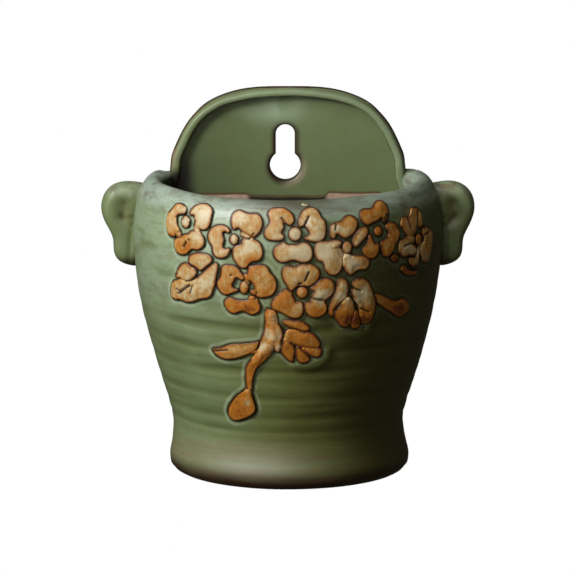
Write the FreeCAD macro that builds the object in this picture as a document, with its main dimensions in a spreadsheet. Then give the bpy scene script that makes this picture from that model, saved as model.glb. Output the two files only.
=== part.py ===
import FreeCAD, Part
import Sketcher
import math
import os

# Hanging wall vase of glazed stoneware: a thrown wall, half round in plan, on a flat back slab
# that rises over the rim as an arch with a keyhole. Two curled ears stand at the rim, and
# blossoms, leaves and a stem are applied to the front.
#
# Millimetres. Seen from the front, X runs to the right, Y runs back to the wall that the vase
# hangs on, and Z runs up. The pieces are laid out from the foot and the wall plane, and each
# Placement then brings the centre of the keyhole's round entry on the wall plane to the origin.

SIZES = (
    ("pot_height", 136.4, "foot to the crest of the rim"),
    ("belly_radius", 71.0, "largest radius of the thrown wall"),
    ("axis_setback", 21.8, "wall plane to the axis of the thrown wall"),
    ("wall_thickness", 5.5, "thrown wall below the rim"),
    ("mouth_inset", 4.0, "middle of the crest in to the inside of the rim, where it is thickest"),
    ("mouth_depth", 4.5, "crest of the rim down to the mouth radius"),
    ("crest_inset", 9.5, "belly radius in to the middle of the crest of the rim"),
    ("crest_width", 1.4, "flat of the crest of the rim"),
    ("floor_thickness", 7.0, "floor inside the wall"),
    ("slab_thickness", 5.5, "back slab"),
    ("slab_edge_round", 3.5, "round along the two back edges of the slab"),
    ("arch_inset", 7.8, "middle of the crest in to the outer side of the arch at its foot"),
    ("arch_step", 0.6, "crest of the rim up to the foot of the arch"),
    ("arch_rise", 37.1, "foot of the arch to its top"),
    ("arch_skirt", 12.0, "stretch of the arch plate that runs down into the slab"),
    ("lip_thickness", 3.9, "lip of the arch, across"),
    ("lip_reach", 8.0, "lip of the arch, forward of the slab"),
    ("lip_lean", 2.0, "how far the lip's front edge leans inwards"),
    ("lip_drop", 6.0, "how far the lip runs down below the foot of the arch"),
    ("keyhole_offset", 1.2, "middle of the vase to the keyhole, which sits to the left"),
    ("entry_radius", 7.1, "round entry of the keyhole"),
    ("entry_step", 0.7, "foot of the arch up to the centre of the entry"),
    ("slot_half_width", 4.35, "half the width of the keyhole's slot"),
    ("slot_rise", 14.9, "centre of the entry to the centre of the slot's round end"),
    ("keyhole_round", 1.3, "round on the front edge of the keyhole"),
    ("ear_sink", 9.0, "belly radius in to the hidden root of an ear"),
    ("ear_width", 23.4, "root to the outer side of an ear"),
    ("ear_length", 39.6, "bottom to top of an ear"),
    ("ear_drop", 3.7, "crest of the rim down to the top of an ear"),
    ("ear_breadth", 14.0, "back to front of an ear"),
    ("ear_clearance", 0.3, "between the back of an ear and the back slab"),
    ("valley_reach", 5.0, "belly radius out to the middle of an ear's hollow"),
    ("valley_drop", 17.0, "crest of the rim down to the middle of an ear's hollow"),
    ("valley_half_width", 3.3, "half the width of an ear's hollow"),
    ("valley_half_length", 8.5, "half the length of an ear's hollow"),
    ("valley_depth", 5.5, "depth of an ear's hollow"),
    ("petal_height", 1.6, "how far petals and leaves stand out of the wall"),
    ("eye_height", 1.9, "how far the eyes of the blossoms stand out"),
    ("stem_height", 1.3, "how far stems and cups stand out"),
    ("overrun", 5.0, "how far a cutting piece runs past what it cuts"),
)

# Half a usual petal: shares of the belly radius and of the pot's height, so that the petals
# keep their places beside each other when the wall changes.
HALF_PETAL_SHARES = (0.0648, 0.0337)

# Sizes that follow from the ones above.
FOLLOWING = (
    ("crest_radius", "=belly_radius - crest_inset", "middle of the crest of the rim"),
    ("mouth_radius", "=crest_radius - mouth_inset", "inside of the rim, where it is thickest"),
    ("arch_half_width", "=crest_radius - arch_inset", "half the width of the arch at its foot"),
    ("arch_foot", "=pot_height + arch_step", "foot of the vase to the foot of the arch"),
    ("entry_height", "=arch_foot + entry_step", "foot of the vase to the centre of the entry"),
    ("ear_root", "=belly_radius - ear_sink", "middle of the vase to the hidden root of an ear"),
    ("valley_offset", "=belly_radius + valley_reach", "middle of the vase to an ear's hollow"),
    ("half_petal", f"=belly_radius * {HALF_PETAL_SHARES[0]}", "half the breadth of a usual petal"),
    ("petal_rise", f"=pot_height * {HALF_PETAL_SHARES[1]}", "half the height of a usual petal"),
)

# The relief is drawn on a plane that leans back by this angle, from a level line at the foot
# below the front of the belly, and is carried square from that plane onto the wall.
DRAWING_TILT = 11.5

# The wall's outer outline: shares of the belly radius and of the pot's height, from the foot
# up to just under the crest.
WALL_SHARES = (
    (0.755, 0.0),
    (0.766, 0.048),
    (0.752, 0.092),
    (0.743, 0.165),
    (0.771, 0.230),
    (0.835, 0.337),
    (0.894, 0.447),
    (0.946, 0.557),
    (0.980, 0.667),
    (1.0, 0.808),
    (0.981, 0.905),
    (0.938, 0.974),
)

# The first ring of the cavity that lies above the belly.
CAVITY_SHARE = 0.85

# Half of the arch's outline: shares of its half width and of its rise, from foot to top.
ARCH_SHARES = (
    (1.0, 0.0),
    (0.967, 0.19),
    (0.916, 0.387),
    (0.84, 0.58),
    (0.717, 0.777),
    (0.6, 0.875),
    (0.363, 0.975),
    (0.0, 1.0),
)

# The lip from the slab to its front edge: shares of its reach, of its lean on the outer side,
# and of its thickness on the inner side.
LIP_SHARES = (
    (0.0, 0.0, 1.0),
    (0.5, 0.25, 1.1),
    (0.85, 0.6, 1.12),
    (1.0, 1.0, 0.92),
)

# An ear's outline, from the root at the top round to the root at the bottom: shares of its
# width and length.
EAR_SHARES = (
    (0.0, 0.95),
    (0.20, 0.975),
    (0.56, 1.0),
    (0.854, 0.93),
    (0.953, 0.846),
    (1.0, 0.70),
    (0.914, 0.503),
    (0.815, 0.384),
    (0.764, 0.288),
    (0.764, 0.194),
    (0.725, 0.098),
    (0.575, 0.028),
    (0.40, 0.0),
    (0.0, 0.048),
)

# How an ear is rounded from back to front: shares of its breadth and of its outline.
EAR_SWELL_SHARES = (
    (0.0, 0.86),
    (0.14, 0.95),
    (0.4, 1.0),
    (0.68, 0.99),
    (0.9, 0.92),
    (1.0, 0.80),
)

# The middle of an ear's outline, which the rounding draws in towards.
EAR_MIDDLE_SHARE = (0.45, 0.52)

# Where each piece of the relief has its middle: shares of the belly radius across and of the
# pot's height up the drawing plane.
PLACE_SHARES = {
    "blossom_1": (-0.635, 0.8966),
    "blossom_2": (-0.337, 0.8661),
    "blossom_3": (0.045, 0.8762),
    "blossom_4": (0.35, 0.8391),
    "blossom_5": (0.577, 0.8931),
    "blossom_6": (0.816, 0.8594),
    "blossom_7": (-0.272, 0.6975),
    "blossom_8": (0.084, 0.6907),
    "leaf": (-0.603, 0.7380),
    "side_bloom": (0.421, 0.6536),
    "side_twig": (0.667, 0.6469),
    "sepal": (0.771, 0.7616),
    "stem": (-0.1814, 0.5019),
    "stem_leaf": (-0.337, 0.4985),
    "stem_blade": (-0.0713, 0.5423),
    "hanging_bud": (-0.298, 0.3130),
    "lower_bloom": (0.0777, 0.5289),
}

# Outlines of the relief, right and up from the middle of each piece, in shares of half a petal's
# breadth and height. Each inner list is one closed, smooth outline.
PETAL_SHARES = {
    "blossom_1": (
        ((-1.5, 2.25), (-0.6, 2.5), (-0.3, 2.1), (-0.35, 1.65), (-1.1, 1.5), (-1.25, 1.2),
         (-1.2, 0.7), (-1.1, 0.3), (-0.9, 0.0), (-1.2, -0.2), (-1.4, -0.6), (-1.7, -0.6),
         (-1.95, -0.4), (-2.1, 0.1), (-2.15, 0.7), (-2.1, 1.3), (-1.9, 1.8)),
        ((-1.35, -0.95), (-1.35, -1.4), (-1.25, -1.9), (-1.0, -2.3), (-0.6, -2.4), (-0.2, -2.3),
         (0.1, -2.0), (0.35, -1.87), (0.8, -1.95), (1.2, -1.8), (1.5, -1.45), (1.5, -0.9),
         (1.3, -0.5), (1.0, -0.25), (0.6, -0.1), (0.25, -0.15), (0.0, -0.38), (-0.4, -0.45),
         (-0.8, -0.7)),
        ((0.6, 2.3), (1.0, 2.5), (1.5, 2.55), (1.9, 2.45), (2.2, 2.2), (2.35, 1.85), (2.25, 1.35),
         (2.15, 0.85), (1.98, 0.35), (1.6, 0.02), (1.2, 0.05), (0.9, 0.2), (0.6, 0.35),
         (0.65, 0.75), (0.62, 1.2), (0.45, 1.45), (0.2, 1.5), (0.15, 1.7), (0.35, 2.05)),
    ),
    "blossom_2": (
        ((-2.0, 1.25), (-1.6, 1.35), (-1.1, 1.3), (-0.7, 1.05), (-0.55, 0.8), (-0.7, 0.6),
         (-1.0, 0.75), (-1.25, 0.65), (-1.25, 0.3), (-1.15, -0.1), (-1.25, -0.55), (-1.2, -0.9),
         (-0.85, -0.98), (-0.55, -0.95), (-0.6, -1.3), (-0.9, -1.7), (-1.4, -1.85), (-1.9, -1.75),
         (-2.2, -1.3), (-2.3, -0.7), (-2.55, -0.3), (-2.68, 0.1), (-2.62, 0.6), (-2.35, 1.0)),
        ((-0.3, 2.3), (-0.1, 2.58), (0.4, 2.78), (0.8, 2.65), (1.2, 2.48), (1.7, 2.45), (2.1, 2.43),
         (2.42, 2.2), (2.63, 1.7), (2.6, 1.2), (2.4, 0.75), (2.1, 0.4), (1.8, 0.2), (1.4, 0.35),
         (1.0, 0.6), (0.65, 0.75), (0.4, 1.03), (0.15, 1.08), (-0.1, 0.92), (-0.3, 1.2),
         (-0.4, 1.8)),
        ((1.6, 0.0), (1.9, -0.12), (2.25, -0.3), (2.53, -0.7), (2.65, -1.3), (2.55, -1.8),
         (2.25, -2.1), (1.7, -2.2), (1.35, -2.42), (1.15, -2.7), (0.8, -2.85), (0.4, -2.7),
         (0.05, -2.3), (-0.2, -1.85), (-0.25, -1.4), (-0.18, -0.95), (0.1, -0.68), (0.6, -0.48),
         (0.7, -0.1), (0.9, 0.1), (1.25, 0.15)),
    ),
    "blossom_3": (
        ((-2.3, 2.65), (-1.7, 2.72), (-1.1, 2.65), (-0.6, 2.35), (-0.27, 1.95), (-0.17, 1.5),
         (-0.35, 1.15), (-0.62, 1.02), (-0.95, 1.25), (-1.2, 1.22), (-1.17, 0.85), (-1.33, 0.5),
         (-1.4, 0.25), (-1.2, 0.05), (-1.15, -0.17), (-1.4, -0.4), (-1.9, -0.46), (-2.5, -0.42),
         (-2.9, -0.2), (-3.05, 0.25), (-2.9, 0.7), (-2.6, 1.1), (-2.52, 1.5), (-2.65, 1.9),
         (-2.62, 2.35)),
        ((0.8, 2.5), (1.2, 2.7), (1.6, 2.75), (2.0, 2.6), (2.3, 2.22), (2.5, 1.8), (2.83, 1.45),
         (2.95, 0.9), (2.95, 0.3), (2.75, -0.28), (2.3, -0.58), (1.8, -0.6), (1.3, -0.47),
         (0.85, -0.25), (1.05, -0.08), (1.38, 0.15), (1.2, 0.6), (0.95, 0.95), (0.65, 0.95),
         (0.42, 0.85), (0.27, 1.15), (0.35, 1.7), (0.55, 2.2)),
        ((-1.4, -0.72), (-1.1, -0.65), (-0.8, -0.85), (-0.3, -0.9), (0.2, -0.88), (0.5, -0.72),
         (0.9, -0.68), (1.3, -0.87), (1.55, -1.2), (1.65, -1.7), (1.55, -2.2), (1.2, -2.53),
         (0.8, -2.6), (0.4, -2.55), (0.1, -2.42), (-0.4, -2.38), (-0.9, -2.53), (-1.4, -2.58),
         (-1.85, -2.33), (-2.13, -1.85), (-2.1, -1.35), (-1.8, -0.98)),
    ),
    "blossom_4": (
        ((-1.1, 2.2), (-0.6, 2.35), (-0.2, 2.5), (0.1, 2.85), (0.5, 3.05), (0.9, 2.95),
         (1.25, 2.6), (1.35, 2.15), (1.2, 1.7), (1.0, 1.4), (0.65, 1.1), (0.2, 0.9), (-0.2, 1.05),
         (-0.55, 1.3), (-0.78, 1.2), (-0.9, 0.88), (-1.15, 0.9), (-1.3, 1.3), (-1.3, 1.8)),
        ((-2.7, 0.2), (-2.4, 0.45), (-1.8, 0.5), (-1.1, 0.6), (-0.5, 0.6), (-0.22, 0.42),
         (-0.27, 0.2), (-0.6, 0.08), (-0.98, -0.12), (-0.8, -0.35), (-0.6, -0.68), (-0.42, -1.02),
         (-0.22, -1.2), (-0.15, -1.55), (-0.2, -2.0), (-0.4, -2.4), (-0.8, -2.7), (-1.2, -2.72),
         (-1.6, -2.45), (-1.88, -1.95), (-2.03, -1.5), (-2.35, -1.35), (-2.65, -1.0),
         (-2.8, -0.5)),
        ((0.08, -1.2), (0.3, -0.87), (0.6, -0.92), (0.8, -1.05), (1.05, -0.95), (1.45, -0.87),
         (1.95, -0.92), (2.45, -1.25), (2.5, -1.65), (2.35, -2.0), (2.0, -2.18), (1.5, -2.2),
         (1.1, -2.45), (0.7, -2.68), (0.35, -2.45), (0.1, -2.0), (0.02, -1.6)),
        ((1.55, 1.72), (2.0, 1.9), (2.3, 1.83), (2.38, 1.5), (2.18, 1.0), (1.85, 0.6), (1.5, 0.2),
         (1.2, 0.02), (0.97, 0.3), (0.98, 0.8), (1.18, 1.25)),
    ),
    "blossom_5": (
        ((-1.8, 1.85), (-1.4, 2.08), (-0.9, 2.1), (-0.6, 2.28), (-0.4, 2.7), (0.0, 2.95),
         (0.4, 2.8), (0.7, 2.4), (0.85, 1.9), (0.83, 1.4), (0.65, 0.95), (0.48, 0.82),
         (0.4, 1.1), (0.25, 1.3), (-0.05, 1.08), (-0.4, 0.9), (-0.75, 0.72), (-1.05, 0.58),
         (-1.45, 0.75), (-1.75, 1.1), (-1.87, 1.5)),
        ((0.75, 0.55), (1.1, 0.78), (1.5, 0.7), (1.83, 0.3), (1.95, -0.3), (1.85, -0.8),
         (1.62, -1.2), (1.45, -1.7), (1.2, -2.2), (0.82, -2.52), (0.48, -2.42), (0.3, -2.0),
         (0.2, -1.5), (0.2, -1.15), (0.5, -0.98), (0.8, -0.7), (0.98, -0.3), (0.9, 0.0),
         (0.7, 0.22)),
        ((-0.9, -0.4), (-0.72, -0.72), (-0.58, -1.08), (-0.35, -1.3), (-0.12, -1.28), (-0.02, -1.7),
         (-0.12, -2.2), (-0.4, -2.55), (-0.8, -2.7), (-1.2, -2.55), (-1.53, -2.25), (-1.6, -1.85),
         (-1.33, -1.45), (-1.08, -0.98)),
    ),
    "blossom_6": (
        ((-0.5, 3.0), (-0.25, 3.28), (0.1, 3.25), (0.4, 2.95), (0.52, 2.5), (0.6, 1.8),
         (0.5, 1.38), (0.22, 1.48), (-0.05, 1.15), (-0.15, 0.75), (-0.4, 0.62), (-0.7, 0.72),
         (-1.0, 0.95), (-1.3, 1.2), (-1.5, 1.6), (-1.42, 2.08), (-1.12, 2.35), (-0.8, 2.32),
         (-0.62, 2.5)),
        ((-1.45, 0.1), (-1.1, 0.3), (-0.7, 0.36), (-0.32, 0.27), (-0.22, 0.0), (-0.35, -0.25),
         (-0.15, -0.45), (-0.02, -0.8), (-0.1, -1.22), (-0.35, -1.38), (-0.68, -1.35),
         (-1.0, -1.48), (-1.33, -1.48), (-1.6, -1.2), (-1.7, -0.7), (-1.63, -0.25)),
        ((-0.65, -1.68), (-0.65, -2.0), (-0.48, -2.38), (-0.15, -2.45), (0.12, -2.1),
         (0.27, -1.5), (0.3, -0.9), (0.3, -0.62), (0.18, -0.8), (0.1, -1.25), (-0.15, -1.62),
         (-0.4, -1.62)),
        ((0.7, 1.1), (0.9, 1.38), (1.2, 1.35), (1.45, 1.0), (1.63, 0.5), (1.6, -0.1),
         (1.5, -0.8), (1.35, -1.5), (1.1, -2.03), (0.82, -2.03), (0.63, -1.6), (0.52, -1.0),
         (0.62, -0.5), (0.8, -0.1), (0.85, 0.4), (0.72, 0.72)),
    ),
    "blossom_7": (
        ((-2.35, 2.12), (-2.2, 2.38), (-1.6, 2.45), (-1.0, 2.3), (-0.65, 2.0), (-0.4, 1.6),
         (-0.18, 1.12), (-0.5, 1.02), (-0.85, 1.25), (-1.07, 1.18), (-1.17, 0.9), (-1.37, 0.6),
         (-1.3, 0.3), (-0.98, 0.12), (-0.68, 0.05), (-0.95, -0.12), (-1.4, -0.27), (-1.9, -0.43),
         (-2.25, -0.33), (-2.6, 0.05), (-2.77, 0.45), (-2.73, 0.9), (-2.5, 1.25), (-2.42, 1.7)),
        ((0.42, 2.32), (0.8, 2.4), (1.3, 2.45), (1.8, 2.4), (2.17, 2.12), (2.33, 1.75),
         (2.62, 1.45), (2.9, 1.0), (3.0, 0.4), (2.85, -0.1), (2.5, -0.5), (1.9, -0.68),
         (1.3, -0.68), (0.9, -0.47), (0.5, -0.27), (0.45, -0.08), (0.77, 0.02), (0.85, 0.4),
         (0.62, 0.78), (0.33, 1.0), (0.12, 1.1), (0.18, 1.6), (0.28, 2.03)),
        ((-1.8, -0.82), (-1.42, -0.75), (-1.05, -0.9), (-0.6, -1.0), (0.0, -1.0), (0.35, -0.85),
         (0.53, -0.65), (0.88, -0.77), (1.17, -1.13), (1.4, -1.6), (1.3, -2.05), (0.92, -2.3),
         (0.5, -2.35), (0.1, -2.17), (-0.3, -2.03), (-0.7, -2.1), (-1.2, -2.25), (-1.63, -2.07),
         (-1.97, -1.65), (-2.08, -1.17)),
    ),
    "blossom_8": (
        ((-1.65, 2.45), (-1.25, 2.52), (-0.65, 2.42), (-0.3, 2.55), (0.2, 2.67), (0.8, 2.67),
         (1.3, 2.5), (1.63, 2.15), (1.7, 1.7), (1.53, 1.2), (1.17, 0.85), (0.55, 0.6),
         (0.1, 0.67), (-0.4, 0.63), (-0.72, 0.42), (-1.05, 0.17), (-1.35, 0.55), (-1.65, 1.0),
         (-1.85, 1.5), (-1.88, 2.05)),
        ((1.45, 0.75), (1.75, 1.08), (2.1, 1.25), (2.5, 1.28), (2.98, 1.05), (3.2, 0.6),
         (3.13, 0.1), (2.85, -0.35), (2.45, -0.65), (2.2, -0.87), (2.35, -1.2), (2.45, -1.6),
         (2.25, -2.05), (1.8, -2.35), (1.3, -2.45), (0.8, -2.3), (0.47, -1.95), (0.35, -1.5),
         (0.35, -1.1), (0.6, -1.02), (0.85, -1.02), (0.95, -0.65), (1.1, -0.25), (1.27, 0.08),
         (1.05, 0.22), (0.9, 0.35), (1.15, 0.55)),
        ((-1.6, 0.25), (-2.0, 0.0), (-2.4, -0.35), (-2.75, -0.75), (-2.93, -1.2), (-2.83, -1.58),
         (-2.4, -1.8), (-1.9, -2.0), (-1.4, -2.3), (-0.9, -2.48), (-0.4, -2.48), (-0.05, -2.27),
         (0.1, -1.9), (0.1, -1.4), (0.0, -1.08), (-0.3, -0.97), (-0.63, -1.03), (-0.8, -0.62),
         (-0.98, -0.35), (-1.0, -0.1), (-1.25, 0.07)),
    ),
    "leaf": (
        ((-0.3, 2.2), (0.1, 2.35), (0.7, 2.4), (1.3, 2.3), (1.73, 1.98), (1.78, 1.68),
         (1.4, 1.3), (1.0, 0.97), (0.62, 0.77), (0.3, 1.0), (-0.1, 1.25), (-0.42, 1.48),
         (-0.45, 1.88)),
        ((-0.65, 1.42), (-0.4, 1.2), (-0.1, 0.93), (0.25, 0.65), (0.2, 0.35), (-0.05, 0.05),
         (-0.35, -0.13), (-0.9, -0.12), (-1.45, 0.03), (-1.75, 0.12), (-1.65, 0.48),
         (-1.5, 0.9), (-1.25, 1.25), (-0.93, 1.42)),
        ((-2.0, -0.33), (-2.15, -0.8), (-2.2, -1.4), (-2.13, -1.85), (-1.85, -2.08),
         (-1.5, -2.07), (-1.1, -2.2), (-0.6, -2.35), (-0.1, -2.28), (0.4, -2.1), (0.85, -2.0),
         (1.3, -1.93), (1.65, -1.7), (1.83, -1.3), (1.92, -0.98), (2.07, -0.7), (2.1, -0.3),
         (2.2, 0.2), (2.3, 0.7), (2.37, 1.15), (2.27, 1.42), (2.0, 1.38), (1.6, 1.08),
         (1.15, 0.7), (0.7, 0.3), (0.3, -0.1), (-0.1, -0.48), (-0.55, -0.58), (-1.0, -0.37),
         (-1.6, -0.22)),
    ),
    "side_bloom": (
        ((-1.6, 2.28), (-1.3, 2.4), (-0.95, 2.28), (-0.7, 1.9), (-0.65, 1.4), (-0.77, 0.9),
         (-1.1, 0.45), (-1.5, 0.0), (-1.88, -0.42), (-2.1, -0.8), (-2.1, -1.2), (-2.38, -1.15),
         (-2.5, -0.8), (-2.42, -0.3), (-2.2, 0.3),
         (-1.95, 0.92), (-1.75, 1.5), (-1.7, 1.95)),
        ((-0.6, 0.48), (-0.3, 0.1), (-0.15, -0.4), (-0.17, -0.9), (-0.37, -1.5), (-0.5, -2.05),
         (-0.9, -2.28), (-1.35, -2.13), (-1.68, -1.7), (-1.9, -1.35), (-1.93, -0.97),
         (-1.65, -0.55), (-1.25, -0.1), (-0.9, 0.33)),
        ((0.1, -0.85), (0.3, -1.2), (0.43, -1.8), (0.33, -2.28), (-0.08, -2.43), (-0.25, -2.2),
         (-0.13, -1.7), (0.0, -1.2)),
        ((-0.1, 2.1), (0.2, 2.3), (0.6, 2.35), (1.1, 2.25), (1.42, 1.9), (1.7, 1.3), (1.9, 0.7),
         (2.03, 0.1), (2.0, -0.6), (1.85, -1.2), (1.62, -1.68), (1.28, -1.88), (0.92, -1.78),
         (0.67, -1.4), (0.6, -0.9), (0.65, -0.35), (0.35, 0.1), (0.0, 0.5), (-0.25, 1.0),
         (-0.25, 1.35), (-0.1, 1.55), (-0.2, 1.85)),
    ),
    "side_bloom_cup": (
        ((-1.45, -2.45), (-1.15, -2.8), (-0.6, -3.12), (0.2, -3.3), (1.0, -2.93), (1.62, -2.25),
         (1.5, -2.1), (1.15, -2.33), (0.65, -2.7), (-0.1, -2.85), (-0.85, -2.68), (-1.25, -2.43)),
    ),
    "side_twig": (
        ((-1.68, 1.12), (-1.0, 0.93), (-0.5, 0.7), (0.0, 0.45), (0.5, 0.43), (0.9, 0.6),
         (1.3, 0.5), (1.58, 0.1), (1.58, -0.4), (1.2, -0.85), (0.7, -1.08), (0.3, -1.0),
         (-0.1, -0.67), (-0.6, -0.42), (-1.1, -0.07), (-1.53, 0.25), (-1.7, 0.68)),
    ),
    "sepal": (
        ((-0.7, 0.43), (-0.4, 0.43), (-0.1, 0.12), (0.2, -0.03), (0.6, -0.03), (0.88, 0.03),
         (0.78, -0.25), (0.4, -0.43), (-0.2, -0.4), (-0.6, -0.2), (-0.77, 0.12)),
    ),
    "stem": (
        ((0.8, 4.0), (1.08, 3.6), (1.2, 3.0), (1.1, 2.3), (1.0, 1.6), (1.0, 0.8), (1.13, 0.1),
         (1.05, -0.35), (0.8, -0.7), (0.3, -1.2), (-0.25, -1.7), (-0.55, -2.3), (-0.72, -2.9),
         (-0.8, -3.6), (-0.92, -4.05), (-1.18, -3.97), (-1.32, -3.5), (-1.37, -2.9),
         (-1.38, -2.2), (-1.23, -1.6), (-0.9, -1.1), (-0.5, -0.7), (-0.2, -0.3), (0.03, 0.2),
         (0.1, 0.7), (0.25, 1.2), (0.4, 1.7), (0.5, 2.3), (0.55, 3.0), (0.6, 3.7)),
    ),
    "stem_leaf": (
        ((2.25, 0.88), (1.85, 0.75), (1.2, 0.7), (0.4, 0.62), (-0.3, 0.6), (-1.0, 0.42),
         (-1.65, 0.2), (-2.28, 0.03), (-2.12, -0.22), (-1.7, -0.6), (-1.0, -0.88),
         (-0.3, -0.85), (0.4, -0.7), (1.1, -0.45), (1.65, -0.2), (2.0, 0.05), (2.2, 0.42)),
    ),
    "stem_blade": (
        ((-0.17, 1.48), (0.2, 1.1), (0.47, 0.5), (0.5, 0.1), (0.32, -0.4), (0.22, -1.0),
         (0.2, -1.4), (-0.02, -1.45), (-0.27, -1.05), (-0.42, -0.4), (-0.45, 0.2),
         (-0.4, 0.8), (-0.32, 1.25)),
    ),
    "hanging_bud": (
        ((0.22, 1.53), (-0.1, 1.3), (-0.5, 1.02), (-0.95, 0.5), (-1.25, 0.0), (-1.38, -0.5),
         (-1.3, -1.0), (-1.0, -1.38), (-0.5, -1.53), (0.1, -1.4), (0.7, -1.15), (1.2, -0.8),
         (1.4, -0.3), (1.3, 0.2), (1.1, 0.8), (0.88, 1.2), (0.55, 1.32)),
    ),
    "lower_bloom": (
        ((-1.7, 1.92), (-1.3, 2.0), (-0.6, 1.9), (0.1, 1.83), (0.5, 1.58), (0.8, 1.22),
         (0.53, 1.07), (-0.1, 1.17), (-0.8, 1.38), (-1.4, 1.62)),
        ((-1.0, 1.0), (-0.2, 0.9), (0.5, 0.8), (1.1, 0.68), (1.45, 0.38), (1.75, -0.05),
         (1.83, -0.4), (1.3, -0.5), (0.5, -0.4), (-0.2, -0.2), (-0.8, 0.12), (-1.23, 0.47),
         (-1.33, 0.8)),
        ((-1.45, 0.2), (-1.15, -0.15), (-0.8, -0.55), (-0.67, -0.95), (-0.75, -1.5),
         (-0.87, -1.93), (-1.3, -1.7), (-1.62, -1.35), (-1.8, -1.0), (-1.75, -0.55),
         (-1.6, -0.05)),
        ((0.3, -0.72), (0.9, -0.82), (1.5, -0.8), (1.92, -0.77), (1.97, -1.1), (1.7, -1.48),
         (1.1, -1.38), (0.65, -1.08)),
        ((-0.23, -0.57), (0.1, -0.95), (0.5, -1.35), (0.78, -1.8), (0.4, -2.03), (-0.13, -1.98),
         (-0.33, -1.55), (-0.38, -1.0)),
    ),
    "lower_bloom_cup": (
        ((-0.4, -2.43), (0.4, -2.7), (1.3, -2.55), (2.1, -2.1), (2.58, -1.45), (2.6, -1.05),
         (2.35, -1.2), (1.95, -1.75), (1.25, -2.18), (0.4, -2.42), (-0.2, -2.33)),
    ),
}

# The pieces whose outlines are drawn about another piece's middle.
SHARED_MIDDLES = {
    "side_bloom_cup": "side_bloom",
    "lower_bloom_cup": "lower_bloom",
}

# Which height each kind of relief stands to.
LOW_RELIEF = ("stem", "side_bloom_cup", "lower_bloom_cup")

# The eyes: right and up from the blossom's middle, then half the width and half the height, in
# shares of half a petal's breadth and height.
EYE_SHARES = {
    "blossom_1": (-0.27, 0.8, 0.37, 0.58),
    "blossom_2": (-0.13, -0.05, 0.39, 0.49),
    "blossom_3": (-0.05, 0.15, 0.6, 0.65),
    "blossom_4": (0.35, -0.05, 0.43, 0.58),
    "blossom_5": (-0.1, -0.05, 0.37, 0.45),
    "blossom_6": (0.28, 0.2, 0.26, 0.52),
    "blossom_7": (-0.15, 0.25, 0.4, 0.6),
    "blossom_8": (0.05, -0.05, 0.53, 0.53),
}

# Two single pellets: place on the pot as in the places above, then half the width and half the
# height in shares of half a petal's breadth and height.
PELLET_SHARES = {
    "berry": (0.677, 0.8037, 0.35, 0.35),
    "rim_bead": (0.1069, 0.9791, 0.36, 0.17),
}


class Vase:
    """The document, its sheet of sizes and the pieces made so far."""

    def __init__(self):
        self.document = FreeCAD.newDocument("WallVase")
        self.sheet = self.document.addObject("Spreadsheet::Sheet", "Sizes")
        for row, (alias, value, note) in enumerate(SIZES + FOLLOWING, start=1):
            self.sheet.set(f"A{row}", note)
            self.sheet.set(f"B{row}", str(value))
            self.sheet.setAlias(f"B{row}", alias)
        self.document.recompute()
        self.pieces = []

    def size(self, alias):
        """The value of one cell of the sheet."""
        return float(self.sheet.get(alias))

    def add(self, kind, name, **bindings):
        """Adds an object and binds its properties; a double underscore stands for a dot."""
        item = self.document.addObject(kind, name)
        item.Label = name
        for path, expression in bindings.items():
            item.setExpression(path.replace("__", "."), expression)
        return item

    def shape(self, name, shape, placement=None):
        """Adds an object that holds an outline worked out from the sheet."""
        item = self.document.addObject("Part::Feature", name)
        item.Label = name
        item.Shape = shape
        if placement is not None:
            item.Placement = placement
        return item

    def boolean(self, kind, name, base, tool):
        """Adds a Part::Cut, Part::Common or Part::Fuse of two objects."""
        item = self.add(kind, name)
        item.Base = base
        item.Tool = tool
        return item

    def finish(self, item):
        """Takes an object as a piece of the vase and brings it to the vase's origin."""
        item.setExpression("Placement.Base.x", "Sizes.keyhole_offset")
        item.setExpression("Placement.Base.z", "-Sizes.entry_height")
        self.pieces.append(item)
        return item


def box(vase, name, low, high):
    """A box between two corners, each given as three expressions."""
    item = vase.add("Part::Box", name)
    for axis, side, start, end in zip("xyz", ("Length", "Width", "Height"), low, high):
        item.setExpression(f"Placement.Base.{axis}", start)
        item.setExpression(side, f"({end}) - ({start})")
    return item


def ring(vase, name, radius, height):
    """A level circle about the axis of the thrown wall."""
    return vase.add("Part::Circle", name, Radius=radius, Placement__Base__y="-Sizes.axis_setback",
                    Placement__Base__z=height)


def ring_loft(vase, name, rings):
    """A solid of round plan through rings of given radius and height."""
    loft = vase.add("Part::Loft", name)
    loft.Sections = [ring(vase, f"{name}_ring_{number}", radius, height)
                     for number, (radius, height) in enumerate(rings, start=1)]
    loft.Solid = True
    return loft


def blank(vase, name, extra="0"):
    """The thrown form as a full solid, its radius larger by an extra height of relief."""
    rings = [(f"Sizes.belly_radius * {radius_share} + {extra}", f"Sizes.pot_height * {height_share}")
             for radius_share, height_share in WALL_SHARES]
    rings.append((f"Sizes.crest_radius + Sizes.crest_width / 2 + {extra}", "Sizes.pot_height"))
    return ring_loft(vase, name, rings)


def cavity(vase):
    """The hollow of the pot, as a solid that runs past the foot and the crest."""
    thickness = "Sizes.wall_thickness"
    rings = [(f"Sizes.belly_radius * {WALL_SHARES[0][0]} - {thickness}", "-Sizes.overrun")]
    rings += [(f"Sizes.belly_radius * {radius_share} - {thickness}", f"Sizes.pot_height * {height_share}")
              for radius_share, height_share in WALL_SHARES[1:] if height_share < CAVITY_SHARE]
    crest = "Sizes.crest_radius - Sizes.crest_width / 2"
    rings.append(("Sizes.mouth_radius", "Sizes.pot_height - Sizes.mouth_depth"))
    rings.append((crest, "Sizes.pot_height"))
    rings.append((f"{crest} + Sizes.overrun / 2", "Sizes.pot_height + Sizes.overrun"))
    return ring_loft(vase, "cavity", rings)


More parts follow.
